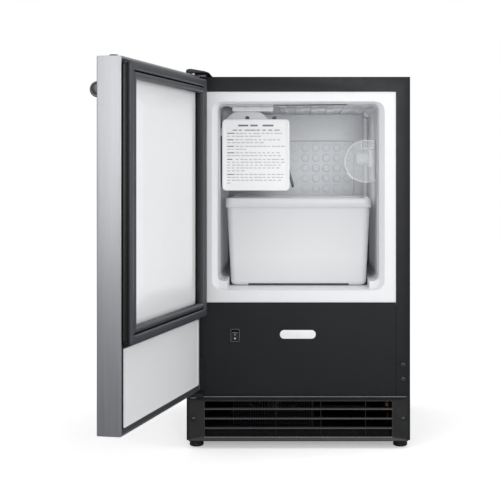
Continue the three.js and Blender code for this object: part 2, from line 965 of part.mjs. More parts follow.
function filterDrier() {
  const x = halfWidth - 26;
  const y = cabinetDepth - 230;
  const low = machineFloor;
  const profile = [
    [0, low],
    [4, low],
    [4, low + 14],
    [11, low + 26],
    [11, low + 100],
    [3.5, low + 116],
    [3.5, low + 140],
    [0, low + 140],
  ];
  return turned("z", x, y, profile, 16);
}

const valveX = -halfWidth + 52;
const valveZ = 60;

function waterValve() {
  const rear = cabinetDepth - sheet - 2 * gap;
  const body = box(valveX - 18, valveX + 18, rear - 62, rear - 12, machineFloor, valveZ + 14);
  const coil = rod("z", valveX, rear - 38, 16, valveZ + 10, valveZ + 52, 20);
  const inlet = rod("y", valveX, valveZ, 9.5, rear - 20, cabinetDepth + 12, 16);
  return join(body, coil, inlet);
}

const glandX = halfWidth - 56;
const glandZ = 56;

function rearServiceCover() {
  const high = deckHeight - gap;
  const low = skirtBottom + 2;
  const panel = box(-innerHalf, innerHalf, cabinetDepth - sheet, cabinetDepth, low, high);
  const cuts = [
    rod("y", valveX, valveZ, 9.5 + gap + 0.5, cabinetDepth - overrun, cabinetDepth + overrun, 16),
    rod("y", glandX, glandZ, glandRadius - 2, cabinetDepth - overrun, cabinetDepth + overrun, 16),
  ];
  for (let i = 0; i < rearVentSlots; i += 1) {
    const z = high - 24 - i * 14;
    cuts.push(box(-110, 110, cabinetDepth - overrun, cabinetDepth + overrun, z, z + 5));
  }
  return cut(panel, ...cuts);
}

function cordGland() {
  const flange = rod("y", glandX, glandZ, glandRadius, cabinetDepth + gap, cabinetDepth + 3, 20);
  const nose = rod("y", glandX, glandZ, glandRadius - 2.5, cabinetDepth - 10, cabinetDepth + 10, 20);
  const bore = rod("y", glandX, glandZ, glandBore, cabinetDepth - 20, cabinetDepth + 20, 16);
  return cut(join(flange, nose), bore);
}

// ---------------------------------------------------------------- hinges

function topHingeBracket() {
  const left = hingeX - 9;
  const right = left + hingeWidth - 6;
  const base = cabinetTop + gap;
  const raised = base + hingePlate + 1;
  const foot = box(left, right, 4, hingeRearReach - 6, base, base + hingePlate);
  const riser = box(left, right, 2, 5, base, raised + hingePlate);
  const arm = box(left, right, -hingeFrontReach + 6, 5, raised, raised + hingePlate);
  const hole = rod("z", hingeX, hingeY, hingePin + runningGap, cabinetTop, raised + overrun, 16);
  return cut(join(foot, riser, arm), hole);
}

function topHingeCover() {
  const left = hingeX - 9 - gap - hingeCoverWall;
  const right = left + hingeWidth + 2 * hingeCoverWall;
  const top = cabinetTop + hingeCoverTop;
  const outline = (inset, corner) =>
    roundedRectangle(left + inset, right - inset, -hingeFrontReach + inset, hingeRearReach - inset, corner);
  const shell = prism("z", outline(0, 8), cabinetTop + gap, top);
  const hollow = prism("z", outline(hingeCoverWall, 4), cabinetTop - overrun, top - hingeCoverWall);
  const overDoor = box(left - 1, right + 1, -hingeFrontReach - 1, 1, cabinetTop - 1, cabinetTop + 4);
  return cut(shell, hollow, overDoor);
}

function topHingePin() {
  const low = cabinetTop - bushingLength;
  return rod("z", hingeX, hingeY, hingePin, low, cabinetTop + hingeCoverTop - hingeCoverWall - gap, 16);
}

function bottomHingeBracket() {
  const left = -halfWidth + 3.5;
  const right = left + 27;
  const under = lowerHingeTopFace - lowerHingeThickness;
  const leaf = box(left, right, -hingePlate - gap, -gap, under, lowerHingeTop);
  const tongue = prism(
    "z",
    roundedRectangle(left, right, hingeY - 10, -gap, 4),
    under,
    lowerHingeTopFace,
  );
  const hole = rod("z", hingeX, hingeY, hingePin + runningGap, under - 1, lowerHingeTopFace + 1, 16);
  const screwHoles = hingeScrewHeights.map((z) => rod("y", left + 10, z, 2.4, -overrun, overrun, 12));
  return cut(join(leaf, tongue), hole, ...screwHoles);
}

function bottomHingePin() {
  const under = lowerHingeTopFace - lowerHingeThickness;
  const pin = rod("z", hingeX, hingeY, hingePin, under - 2.5, doorBottom + bushingLength - 1, 16);
  const nut = rod("z", hingeX, hingeY, hingePin + 2, under - 2.5, under - gap, 6);
  return join(pin, nut);
}

function frontScrew(x, z, face) {
  return rod("y", x, z, panelScrewRadius, face - 2.4, face, 14);
}

// ---------------------------------------------------------------- door, drawn closed

const doorFrameHalf = doorHalf - doorLip - gap;
const doorFrameLow = doorBottom + doorLipEnds + gap;
const doorFrameHigh = cabinetTop - doorLipEnds - gap;
const gasketHalf = doorFrameHalf - gap;
const gasketTop = cabinetTop - gasketTopInset;
const gasketInnerHalf = gasketHalf - gasketWidth;
const panelHalf = gasketInnerHalf - gap;
const panelLow = gasketBottom + gasketWidth + gap;
const panelHigh = gasketTop - gasketWidth - gap;
const lowerPanelHalf = doorHalf - lowerPanelInset;
const plugX = doorHalf - plugSide;
const plugY = doorInner - plugDepth;

function plugHole(depth) {
  return rod("z", plugX, plugY, hingePin + gap, cabinetTop - depth, cabinetTop + overrun, 16);
}

function bushingHoles(radius) {
  return [
    rod("z", hingeX, hingeY, radius, doorBottom - overrun, doorBottom + bushingLength + gap, 20),
    rod("z", hingeX, hingeY, radius, cabinetTop - bushingLength - gap, cabinetTop + overrun, 20),
  ];
}

function doorOuterPanel() {
  const block = box(-doorHalf, doorHalf, doorOuter, doorInner, doorBottom, cabinetTop);
  const hollow = box(
    -doorHalf + sheet,
    doorHalf - sheet,
    doorOuter + sheet,
    doorInner - sheet,
    doorBottom + sheet,
    cabinetTop - sheet,
  );
  const window = box(
    -doorHalf + doorLip,
    doorHalf - doorLip,
    doorInner - 2 * sheet,
    doorInner + overrun,
    doorBottom + doorLipEnds,
    cabinetTop - doorLipEnds,
  );
  return cut(block, hollow, window, plugHole(overrun), ...bushingHoles(bushingRadius + gap));
}

function doorFoam() {
  const inset = sheet + gap;
  const block = box(
    -doorHalf + inset,
    doorHalf - inset,
    doorOuter + inset,
    doorInner - frameThickness - gap,
    doorBottom + inset,
    cabinetTop - inset,
  );
  return cut(block, plugHole(plugStem + 2), ...bushingHoles(bushingRadius + gap));
}

function doorInnerFrame() {
  const plate = box(
    -doorFrameHalf,
    doorFrameHalf,
    doorInner - frameThickness,
    doorInner,
    doorFrameLow,
    doorFrameHigh,
  );
  const window = box(-panelHalf - gap, panelHalf + gap, doorOuter, 0, panelLow - gap, panelHigh + gap);
  const lowerWindow = box(-lowerPanelHalf, lowerPanelHalf, doorOuter, 0, lowerPanelBottom, lowerPanelTop);
  return cut(plate, window, lowerWindow, ...bushingHoles(bushingRadius + gap));
}

function doorInnerPanel() {
  const base = box(-panelHalf, panelHalf, doorInner - frameThickness, doorInner, panelLow, panelHigh);
  const outline = (margin, corner) =>
    roundedRectangle(-panelHalf + margin, panelHalf - margin, panelLow + margin, panelHigh - margin, corner);
  const crown = loft("y", [
    { outline: outline(panelMargin - 12, 16), at: doorInner - 1 },
    { outline: outline(panelMargin, 10), at: doorInner + panelRise },
  ]);
  return join(base, crown);
}

function doorLowerPanel() {
  const outline = roundedRectangle(
    -lowerPanelHalf + gap,
    lowerPanelHalf - gap,
    lowerPanelBottom + gap,
    lowerPanelTop - gap,
    3,
  );
  return prism("y", outline, doorInner - frameThickness, doorInner + 0.8);
}

// The gasket: bellows foot, magnet head outside and a wiping lip inside, one ring.
function gasketRing(outerInset, innerInset, from, to) {
  const ring = (inset, corner) =>
    roundedRectangle(
      -gasketHalf + inset,
      gasketHalf - inset,
      gasketBottom + inset,
      gasketTop - inset,
      corner,
      3,
    );
  const outer = prism("y", ring(outerInset, 5), from, to);
  const inner = prism("y", ring(innerInset, 3), from - 1, to + 1);
  return cut(outer, inner);
}

function doorGasket() {
  const foot = doorInner + gap;
  const crest = doorInner + gasketHeight + gap;
  const base = gasketRing(1.5, gasketWidth, foot, foot + 3);
  const bellows = gasketRing(1.5, gasketHead - 2, foot + 2, crest - 5);
  const head = gasketRing(0, gasketHead, crest - 6, crest);
  const lip = gasketRing(gasketHead + gasketGroove, gasketWidth, foot, crest - 4);
  return join(base, bellows, head, lip);
}

const handleY = doorOuter - handleStandoff;
const handleZ = cabinetTop - handleDrop;
const handlePostX = handleLength / 2 - handlePostInset;

function handleBar() {
  const half = handleLength / 2;
  const profile = [
    [0, -half],
    [handleRadius - 1.5, -half],
    [handleRadius, -half + 1.5],
    [handleRadius, half - 1.5],
    [handleRadius - 1.5, half],
    [0, half],
  ];
  return turned("x", handleY, handleZ, profile, 28);
}

function handlePost(side) {
  const x = side * handlePostX;
  const post = rod("y", x, handleZ, handlePostRadius, handleY, doorOuter - gap, 20);
  const saddle = rod("x", handleY, handleZ, handleRadius + gap, x - 20, x + 20, 28);
  return cut(post, saddle);
}

function doorHolePlug() {
  const cap = rod("z", plugX, plugY, hingePin + plugRim, cabinetTop + gap, cabinetTop + plugRim, 16);
  const stem = rod("z", plugX, plugY, hingePin - gap, cabinetTop - plugStem, cabinetTop + 1, 12);
  return join(cap, stem);
}

function doorBushing(low, high) {
  const tube = rod("z", hingeX, hingeY, bushingRadius, low, high, 20);
  return cut(tube, rod("z", hingeX, hingeY, hingePin + runningGap, low - 1, high + 1, 16));
}

// ---------------------------------------------------------------- ice bin

function binOutline(inset, depthInset, corner) {
  const half = troughHalf - binSideClearance + binRimReach - inset;
  return roundedRectangle(-half, half, binFront + depthInset, binRear - depthInset, corner, 4);
}

function iceBin() {
  const rimLow = binTop - binRimHeight;
  const foot = binRimReach;
  const shell = (wall, floor, top) =>
    loft("z", [
      { outline: binOutline(foot + wall + binFootRound * 0.75, 12 + wall, 8), at: floor },
      { outline: binOutline(foot + wall + binFootRound * 0.2, 9 + wall, 9), at: floor + binFootRound * 0.3 },
      { outline: binOutline(foot + wall, 7 + wall, 10), at: floor + binFootRound },
      { outline: binOutline(binRimStep + wall, binRimStep + wall, 12), at: top },
    ]);
  const body = shell(0, binFloor, binTop - 1);
  const rim = prism("z", binOutline(0, 0, 13), rimLow, binTop);
  const hollow = shell(binWall, binFloor + binWall, binTop + gap);
  return cut(join(body, rim), hollow);
}

// ---------------------------------------------------------------- assembly

const machine = new THREE.Group();

const cabinet = new THREE.Group();
add(cabinet, "cabinet_wrapper", cabinetWrapper(), blackPaint);
add(cabinet, "cabinet_back_panel", backPanel(), galvanised);
add(cabinet, "foam_insulation", foamInsulation(), foam);
add(cabinet, "inner_liner", innerLiner(), whitePlastic);
add(cabinet, "evaporator_sleeve", evaporatorSleeve(), rolledAluminium);
add(cabinet, "evaporator_back_plate", evaporatorBackPlate(), rolledAluminium);
add(cabinet, "lower_front_panel", lowerFrontPanel(), blackPaint);
add(cabinet, "kick_grille", kickGrille(), blackPlastic);
add(cabinet, "grille_screw_left", grilleScrew(-1), steel);
add(cabinet, "grille_screw_right", grilleScrew(1), steel);
add(cabinet, "switch_housing", switchHousing(), blackPlastic);
add(cabinet, "power_rocker", powerRocker(), blackPlastic);
machine.add(cabinet);

const iceMaker = new THREE.Group();
add(iceMaker, "icemaker_cover", icemakerCover(), whitePlastic);
add(iceMaker, "icemaker_head", icemakerHead(), palePlastic);
add(iceMaker, "icemaker_bracket", icemakerBracket(), whitePlastic);
add(iceMaker, "ice_mold", iceMold(), castAluminium);
add(iceMaker, "ejector", ejector(), palePlastic);
add(iceMaker, "ice_stripper", iceStripper(), palePlastic);
add(iceMaker, "fill_cup", fillCup(), palePlastic);
add(iceMaker, "fill_tube", fillTube(), palePlastic);
add(iceMaker, "shutoff_arm", shutoffArm(), steel);
machine.add(iceMaker);

const thermostat = new THREE.Group();
add(thermostat, "thermostat_guard", thermostatGuard(), clearPlastic);
add(thermostat, "thermostat_housing", thermostatHousing(), palePlastic);
add(thermostat, "thermostat_knob", thermostatKnob(), palePlastic);
machine.add(thermostat);

const compartment = new THREE.Group();
add(compartment, "base_pan", basePan(), galvanised);
add(compartment, "compressor", compressor(), blackPaint);
add(compartment, "condenser", condenser(), castAluminium);
add(compartment, "fan_shroud", fanShroud(), blackPlastic);
add(compartment, "condenser_fan", condenserFan(), blackPlastic);
add(compartment, "fan_motor", fanMotor(), galvanised);
add(compartment, "filter_drier", filterDrier(), copper);
add(compartment, "water_valve", waterValve(), palePlastic);
add(compartment, "rear_service_cover", rearServiceCover(), galvanised);
add(compartment, "cord_gland", cordGland(), blackPlastic);
for (const [name, side, y] of footPlaces) {
  add(compartment, `foot_${name}`, levellingFoot(side, y), softBlack);
}
machine.add(compartment);

const hinges = new THREE.Group();
add(hinges, "top_hinge_bracket", topHingeBracket(), galvanised);
add(hinges, "top_hinge_cover", topHingeCover(), blackPlastic);
add(hinges, "top_hinge_pin", topHingePin(), steel);
add(hinges, "bottom_hinge_bracket", bottomHingeBracket(), blackPaint);
add(hinges, "bottom_hinge_pin", bottomHingePin(), steel);
hingeScrewHeights.forEach((z, i) => {
  const place = i === 0 ? "upper" : "lower";
  const x = halfWidth - stileWidth / 2;
  add(hinges, `hinge_screw_${place}`, frontScrew(-halfWidth + 13.5, z, -hingePlate - 2 * gap), steel);
  add(hinges, `stile_plug_${place}`, frontScrew(x, z, -gap), blackPlastic);
});
machine.add(hinges);

// The door turns as one about the hinge axis. The inner group moves it back to its closed place.
const doorHinge = new THREE.Group();
doorHinge.position.set(hingeX, hingeY, 0);
doorHinge.rotation.z = THREE.MathUtils.degToRad(-doorOpenAngle);
const door = new THREE.Group();
door.position.set(-hingeX, -hingeY, 0);
add(door, "door_outer_panel", doorOuterPanel(), steel);
add(door, "door_foam", doorFoam(), foam);
add(door, "door_inner_frame", doorInnerFrame(), blackPlastic);
add(door, "door_inner_panel", doorInnerPanel(), whitePlastic);
add(door, "door_lower_panel", doorLowerPanel(), palePlastic);
add(door, "door_gasket", doorGasket(), softBlack);
add(door, "handle_bar", handleBar(), steel);
add(door, "handle_post_left", handlePost(-1), steel);
add(door, "handle_post_right", handlePost(1), steel);
add(door, "door_hole_plug", doorHolePlug(), blackPlastic);
add(door, "door_bushing_lower", doorBushing(doorBottom - gap, doorBottom + bushingLength), palePlastic);
add(door, "door_bushing_upper", doorBushing(cabinetTop - bushingLength, cabinetTop + gap), palePlastic);
doorHinge.add(door);
machine.add(doorHinge);

add(machine, "ice_bin", iceBin(), whitePlastic);

// The part's origin is the middle of its footprint with the door open, on the floor.
const extent = new THREE.Box3().setFromObject(machine, true);
const middle = extent.getCenter(new THREE.Vector3());
machine.position.set(-middle.x, -middle.y, 0);

const part = new THREE.Group();
part.add(machine);

export default part;
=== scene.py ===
# Undercounter ice maker: the looks of every piece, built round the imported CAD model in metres.

import json
import math

import bmesh
import bpy
from mathutils import Matrix, Vector

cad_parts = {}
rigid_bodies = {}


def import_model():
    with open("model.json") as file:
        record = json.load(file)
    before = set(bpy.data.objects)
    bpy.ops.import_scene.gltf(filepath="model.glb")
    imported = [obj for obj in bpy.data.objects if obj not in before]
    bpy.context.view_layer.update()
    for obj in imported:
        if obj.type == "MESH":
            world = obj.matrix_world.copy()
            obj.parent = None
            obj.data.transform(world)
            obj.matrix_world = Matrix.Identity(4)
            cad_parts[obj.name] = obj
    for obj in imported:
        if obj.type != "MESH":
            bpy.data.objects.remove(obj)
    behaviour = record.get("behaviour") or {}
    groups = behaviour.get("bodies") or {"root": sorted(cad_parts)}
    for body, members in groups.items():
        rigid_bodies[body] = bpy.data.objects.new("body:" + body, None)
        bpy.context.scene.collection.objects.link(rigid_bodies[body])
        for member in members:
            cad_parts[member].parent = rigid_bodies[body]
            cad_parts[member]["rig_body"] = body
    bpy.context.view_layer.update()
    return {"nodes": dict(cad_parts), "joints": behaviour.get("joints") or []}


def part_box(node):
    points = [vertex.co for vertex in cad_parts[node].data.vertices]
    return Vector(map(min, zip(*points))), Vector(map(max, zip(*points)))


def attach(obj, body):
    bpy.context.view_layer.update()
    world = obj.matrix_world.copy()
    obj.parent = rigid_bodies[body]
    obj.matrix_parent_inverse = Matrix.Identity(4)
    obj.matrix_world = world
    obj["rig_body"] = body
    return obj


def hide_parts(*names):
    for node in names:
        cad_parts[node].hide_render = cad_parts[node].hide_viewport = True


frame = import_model()


# ---- Cabinet shell
# One folded steel wrapper makes both sides, the roof and the front stiles. It is powder coated black,
# with a fine orange peel. The galvanised back panel closes it, and foam fills the space inside.

cabinet_low, cabinet_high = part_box("cabinet_wrapper")
middle = (cabinet_low.x + cabinet_high.x) / 2
front = cabinet_low.y


class Signal:
    """A value in a node tree. Arithmetic on it adds Math nodes to that tree."""

    def __init__(self, tree, socket):
        self.tree = tree
        self.socket = socket

    def math(self, operation, *values):
        return self.tree.node("ShaderNodeMath", {"operation": operation}, dict(enumerate(values)))

    def __add__(self, other):
        return self.math("ADD", self, other)

    __radd__ = __add__

    def __sub__(self, other):
        return self.math("SUBTRACT", self, other)

    def __mul__(self, other):
        return self.math("MULTIPLY", self, other)

    __rmul__ = __mul__


class Nodes:
    """A node tree that is filled by calls to node()."""

    def __init__(self, tree):
        self.tree = tree

    def node(self, kind, settings=None, inputs=None, output=0):
        made = self.tree.nodes.new(kind)
        for name, value in (settings or {}).items():
            setattr(made, name, value)
        for name, value in (inputs or {}).items():
            if isinstance(value, Signal):
                self.tree.links.new(value.socket, made.inputs[name])
            else:
                made.inputs[name].default_value = value
        return Signal(self, made.outputs[output])

    def between(self, share, first, second):
        colours = [colour if isinstance(colour, Signal) else (*colour, 1) for colour in (first, second)]
        return self.node(
            "ShaderNodeMix", {"data_type": "RGBA"}, {0: share, 6: colours[0], 7: colours[1]}, 2
        )


class Finish(Nodes):
    """A surface finish: one Principled shader, the record's slot it belongs to, and what varies over it."""

    def __init__(self, name, slot, **constants):
        self.material = bpy.data.materials.new(name)
        self.material.use_nodes = True
        self.slot = slot
        super().__init__(self.material.node_tree)
        self.shader = self.tree.nodes["Principled BSDF"]
        for socket, value in constants.items():
            self.shader.inputs[socket.replace("_", " ")].default_value = value

    def drive(self, socket, signal):
        self.tree.links.new(signal.socket, self.shader.inputs[socket])

    def place(self, stretch=(1, 1, 1), turn=(0, 0, 0)):
        spot = self.node("ShaderNodeTexCoord", output="Object")
        return self.node(
            "ShaderNodeMapping", inputs={"Vector": spot, "Scale": stretch, "Rotation": turn}
        )

    def noise(self, size, detail=3.0, stretch=(1, 1, 1), turn=(0, 0, 0)):
        where = self.place(stretch, turn)
        return self.node(
            "ShaderNodeTexNoise", inputs={"Vector": where, "Scale": 1 / size, "Detail": detail}
        )

    def cells(self, size, feature="F1"):
        where = self.place()
        return self.node(
            "ShaderNodeTexVoronoi", {"feature": feature}, {"Vector": where, "Scale": 1 / size}
        )

    def tint(self, share, dark, light):
        self.drive("Base Color", self.between(share, dark, light))

    def relief(self, height, depth):
        bump = self.node(
            "ShaderNodeBump", inputs={"Height": height, "Distance": depth, "Strength": 1.0}
        )
        self.drive("Normal", bump)


def clean_mesh(name, points, faces, crease=38):
    """A closed mesh: corners merged, faces turned outwards, sharp edges only where it really turns."""
    mesh = bpy.data.meshes.new(name)
    mesh.from_pydata(points, [], faces)
    work = bmesh.new()
    work.from_mesh(mesh)
    bmesh.ops.remove_doubles(work, verts=work.verts, dist=0.00001)
    bmesh.ops.dissolve_degenerate(work, edges=work.edges, dist=0.00001)
    bmesh.ops.recalc_face_normals(work, faces=work.faces)
    work.to_mesh(mesh)
    work.free()
    mesh.shade_smooth()
    mesh.set_sharp_from_angle(angle=math.radians(crease))
    return mesh


def fit(name, mesh, finish, body, *nodes):
    """A finished piece on its body, in place of the CAD nodes that it stands for."""
    mesh.materials.clear()
    mesh.materials.append(finish.material)
    piece = bpy.data.objects.new(name, mesh)
    bpy.context.scene.collection.objects.link(piece)
    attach(piece, body)
    if nodes:
        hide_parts(*nodes)
    return piece


def plain_mesh(piece):
    """What an object's modifiers make of it, as a mesh of its own. The object is removed."""
    bpy.context.view_layer.update()
    result = bpy.data.meshes.new_from_object(piece.evaluated_get(bpy.context.evaluated_depsgraph_get()))
    bpy.data.objects.remove(piece)
    return result


def eased(node, finish, radius, steps=2):
    """A CAD piece with its sharp edges broken to a radius."""
    source = frame["nodes"][node].data
    mesh = bpy.data.meshes.new(node)
    mesh.from_pydata([v.co for v in source.vertices], [], [list(p.vertices) for p in source.polygons])
    work = bmesh.new()
    work.from_mesh(mesh)
    bmesh.ops.remove_doubles(work, verts=work.verts, dist=0.00002)
    bmesh.ops.dissolve_limit(work, angle_limit=math.radians(0.6), verts=work.verts, edges=work.edges)
    work.to_mesh(mesh)
    work.free()
    mesh.shade_smooth()
    piece = bpy.data.objects.new(node, mesh)
    bpy.context.scene.collection.objects.link(piece)
    bevel = piece.modifiers.new("edges", "BEVEL")
    bevel.width = radius
    bevel.segments = steps
    bevel.limit_method = "ANGLE"
    bevel.angle_limit = math.radians(31)
    bevel.harden_normals = True
    rounded = plain_mesh(piece)
    return fit(node + "_form", rounded, finish, frame["nodes"][node]["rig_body"], node)


def powder_coat(name, slot, dark, light):
    finish = Finish(name, slot, Specular_IOR_Level=0.3)
    finish.tint(finish.noise(0.05, 4), dark, light)
    finish.drive("Roughness", finish.noise(0.012, 5) * 0.14 + 0.33)
    finish.relief(finish.noise(0.0011, 2) + 0.35 * finish.noise(0.0042, 2), 0.00005)
    return finish


black_paint = powder_coat(
    "black_powder_coat", "black_paint", (0.0055, 0.0062, 0.0082), (0.0088, 0.0098, 0.0126)
)

galvanised = Finish("galvanised_sheet", "galvanised", Metallic=0.85)
spangle = galvanised.cells(0.009)
galvanised.tint(spangle, (0.36, 0.37, 0.39), (0.55, 0.56, 0.57))
galvanised.drive("Roughness", spangle * 0.25 + 0.32)
galvanised.relief(galvanised.noise(0.004, 4), 0.00003)

foam_finish = Finish("cut_foam", "foam", Roughness=0.95)
pores = foam_finish.cells(0.0012)
foam_finish.tint(pores, (0.62, 0.5, 0.26), (0.86, 0.76, 0.5))
foam_finish.relief(pores, 0.0003)

eased("cabinet_wrapper", black_paint, 0.00045)
eased("cabinet_back_panel", galvanised, 0.0003)
eased("foam_insulation", foam_finish, 0.0004, 1)


# ---- Liner
# One vacuum-formed sheet of white polystyrene: a flange behind the stiles, a sloped mouth, the cavity and
# the trough that the bin stands in. Forming leaves it glossy, with a faint pebble and soft edges.

def moulded(name, slot, dark, light, gloss, grain=0.0016, depth=0.00002):
    finish = Finish(name, slot, Specular_IOR_Level=0.5)
    finish.tint(finish.noise(0.035, 5), dark, light)
    finish.drive("Roughness", finish.noise(0.02, 4) * 0.08 + (gloss - 0.04))
    finish.relief(finish.noise(grain, 2) + 0.5 * finish.noise(grain * 7, 2), depth)
    return finish


white_liner = moulded("white_liner", "white_plastic", (0.78, 0.79, 0.805), (0.8, 0.81, 0.825), 0.34)
eased("inner_liner", white_liner, 0.0009, 3)


# ---- Freezing plates
# Roll-bonded aluminium lines the cavity: a bent sleeve and a back plate. The sleeve is rubbed with
# slanting strokes where it was coated, and the back plate is blown up in rows of round pillows in a
# raised channel.

plate_finish = Finish("roll_bond_plate", "freezing_plate", Metallic=0.15)
strokes = plate_finish.noise(0.0035, 4, (1, 0.22, 1), (math.radians(38), 0, 0))
cross_strokes = plate_finish.noise(0.003, 3, (1, 0.25, 1), (math.radians(-44), 0, 0))
haze = strokes * 0.6 + cross_strokes * 0.4
plate_finish.tint(haze, (0.5, 0.515, 0.535), (0.68, 0.69, 0.71))
plate_finish.drive("Roughness", haze * 0.3 + 0.34)
plate_finish.relief(haze, 0.00025)

eased("evaporator_sleeve", plate_finish, 0.0006)
eased("evaporator_back_plate", plate_finish, 0.0005)


class Growth(Nodes):
    """A Geometry Nodes tree with named inputs, which is run once and leaves a plain mesh."""

    def __init__(self, name):
        super().__init__(bpy.data.node_groups.new(name, "GeometryNodeTree"))
        self.tree.interface.new_socket("Geometry", in_out="INPUT", socket_type="NodeSocketGeometry")
        self.tree.interface.new_socket("Geometry", in_out="OUTPUT", socket_type="NodeSocketGeometry")
        self.start = self.tree.nodes.new("NodeGroupInput")
        self.end = self.tree.nodes.new("NodeGroupOutput")
        self.identifiers = {}

    def size(self, name, kind="Float"):
        socket = self.tree.interface.new_socket(name, in_out="INPUT", socket_type="NodeSocket" + kind)
        self.identifiers[name] = socket.identifier
        return Signal(self, self.start.outputs[name])

    def ends_in(self, geometry):
        material = self.size("Material", "Material")
        solid = self.node("GeometryNodeRealizeInstances", inputs={"Geometry": geometry})
        painted = self.node("GeometryNodeSetMaterial", inputs={"Geometry": solid, "Material": material})
        self.tree.links.new(painted.socket, self.end.inputs["Geometry"])

    def grown(self, name, **sizes):
        holder = bpy.data.objects.new(name, bpy.data.meshes.new(name))
        bpy.context.scene.collection.objects.link(holder)
        growth = holder.modifiers.new("growth", "NODES")
        growth.node_group = self.tree
        for label, value in sizes.items():
            growth[self.identifiers[label.replace("_", " ")]] = value
        return plain_mesh(holder)


# Copies of one shape in columns and rows.
grid = Growth("shape_in_rows")
across = grid.node(
    "GeometryNodeMeshLine",
    inputs={"Count": grid.size("Columns", "Int"), "Offset": grid.size("Column step", "Vector")},
)
upward = grid.node(
    "GeometryNodeMeshLine",
    inputs={
        "Count": grid.size("Rows", "Int"),
        "Start Location": grid.size("Start", "Vector"),
        "Offset": grid.size("Row step", "Vector"),
    },
)
lines = grid.node("GeometryNodeInstanceOnPoints", inputs={"Points": upward, "Instance": across})
spots = grid.node("GeometryNodeRealizeInstances", inputs={"Geometry": lines})
shape = grid.node(
    "GeometryNodeObjectInfo", inputs={"Object": grid.size("Shape", "Object")}, output="Geometry"
)
grid.ends_in(grid.node("GeometryNodeInstanceOnPoints", inputs={"Points": spots, "Instance": shape}))


def in_rows(name, mesh, finish, start, columns=1, step=(0, 0, 0), rows=1, row_step=(0, 0, 0)):
    """A mesh with copies of one shape in columns and rows."""
    pattern = bpy.data.objects.new(name + "_shape", mesh)
    sizes = {"Columns": columns, "Column_step": step, "Rows": rows, "Row_step": row_step}
    result = grid.grown(name, Start=start, Shape=pattern, Material=finish.material, **sizes)
    bpy.data.objects.remove(pattern)
    return result


def quarter(steps, first=0):
    """Sines and cosines of even steps through a quarter turn."""
    angles = [math.pi / 2 * i / steps for i in range(first, steps + 1)]
    return [(math.sin(angle), math.cos(angle)) for angle in angles]


def axis_of(low, high, axis):
    """A box's centre line along an axis: the centre of the box, with nought along that axis."""
    return tuple(0 if name == axis else (a + b) / 2 for name, a, b in zip("xyz", low, high))


def turned(name, axis, centre, profile, sides=48):
    """A mesh turned about an axis through centre. The profile is (radius, place along the axis) points."""
    points = []
    for radius, along in profile:
        for i in range(sides):
            angle = 2 * math.pi * i / sides
            u, v = radius * math.cos(angle), radius * math.sin(angle)
            place = {"x": (along, u, v), "y": (u, along, v), "z": (u, v, along)}[axis]
            points.append(Vector(centre) + Vector(place))
    faces = []
    for ring in range(len(profile) - 1):
        for i in range(sides):
            j = (i + 1) % sides
            low, high = ring * sides, (ring + 1) * sides
            faces.append((low + i, low + j, high + j, high + i))
    return clean_mesh(name, points, faces)


def cut_away(mesh, tools, crease=38):
    """A mesh with the tool meshes cut out of it."""
    piece = bpy.data.objects.new("uncut", mesh)
    cutters = [bpy.data.objects.new("cutter", tool) for tool in tools]
    for item in [piece, *cutters]:
        bpy.context.scene.collection.objects.link(item)
    for cutter in cutters:
        bite = piece.modifiers.new("bite", "BOOLEAN")
        bite.object = cutter
        bite.operation = "DIFFERENCE"
    result = plain_mesh(piece)
    for cutter in cutters:
        bpy.data.objects.remove(cutter)
    result.set_sharp_from_angle(angle=math.radians(crease))
    return result


def pillow(radius, height, sides=24):
    """A shallow dome with a flat foot that faces -Y."""
    profile = [(0, 0.0004), (radius, 0.0004), (radius, 0)]
    for i, (lift, _) in enumerate(quarter(5, 1)):
        profile.append((radius * (1 - 0.22 * (i + 1) / 5), -height * lift))
    profile.append((0, -height))
    return turned("pillow", "y", (0, 0, 0), profile, sides)


back_low, back_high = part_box("evaporator_back_plate")
pillow_radius, pillow_height = 0.0078, 0.00045
pillow_pitch, pillow_row = 0.0205, 0.02
pillow_columns, pillow_row_count = 12, 5
pillow_left = middle + 0.0131 - 7 * pillow_pitch
pillow_foot = back_high.z - 0.1463
pillow_rows = in_rows(
    "pillow_rows",
    pillow(pillow_radius, pillow_height),
    plate_finish,
    (pillow_left, back_low.y, pillow_foot),
    columns=pillow_columns,
    step=(pillow_pitch, 0, 0),
    rows=pillow_row_count,
    row_step=(0, 0, pillow_row),
)
fit("evaporator_pillows", pillow_rows, plate_finish, "cabinet")


def tube_mesh(name, points, radius, closed=False, sides=12, curved=0.0):
    """A round tube or wire through points, whose corners are rounded by a bend radius."""
    curve = bpy.data.curves.new(name, "CURVE")
    curve.dimensions = "3D"
    curve.bevel_depth = radius
    curve.bevel_resolution = max(1, sides // 4)
    curve.use_fill_caps = True
    route = []
    for i, point in enumerate(points):
        here = Vector(point)
        if curved and (closed or 0 < i < len(points) - 1):
            before, after = Vector(points[i - 1]), Vector(points[(i + 1) % len(points)])
            entry = here + (before - here).normalized() * curved
            leave = here + (after - here).normalized() * curved
            for k in range(7):
                t = k / 6
                route.append(entry * (1 - t) ** 2 + here * 2 * t * (1 - t) + leave * t * t)
        else:
            route.append(here)
    spline = curve.splines.new("POLY")
    spline.points.add(len(route) - 1)
    for spot, place in zip(spline.points, route):
        spot.co = (*place, 1)
    spline.use_cyclic_u = closed
    holder = bpy.data.objects.new(name, curve)
    bpy.context.scene.collection.objects.link(holder)
    mesh = plain_mesh(holder)
    mesh.shade_smooth()
    mesh.set_sharp_from_angle(angle=math.radians(50))
    return mesh


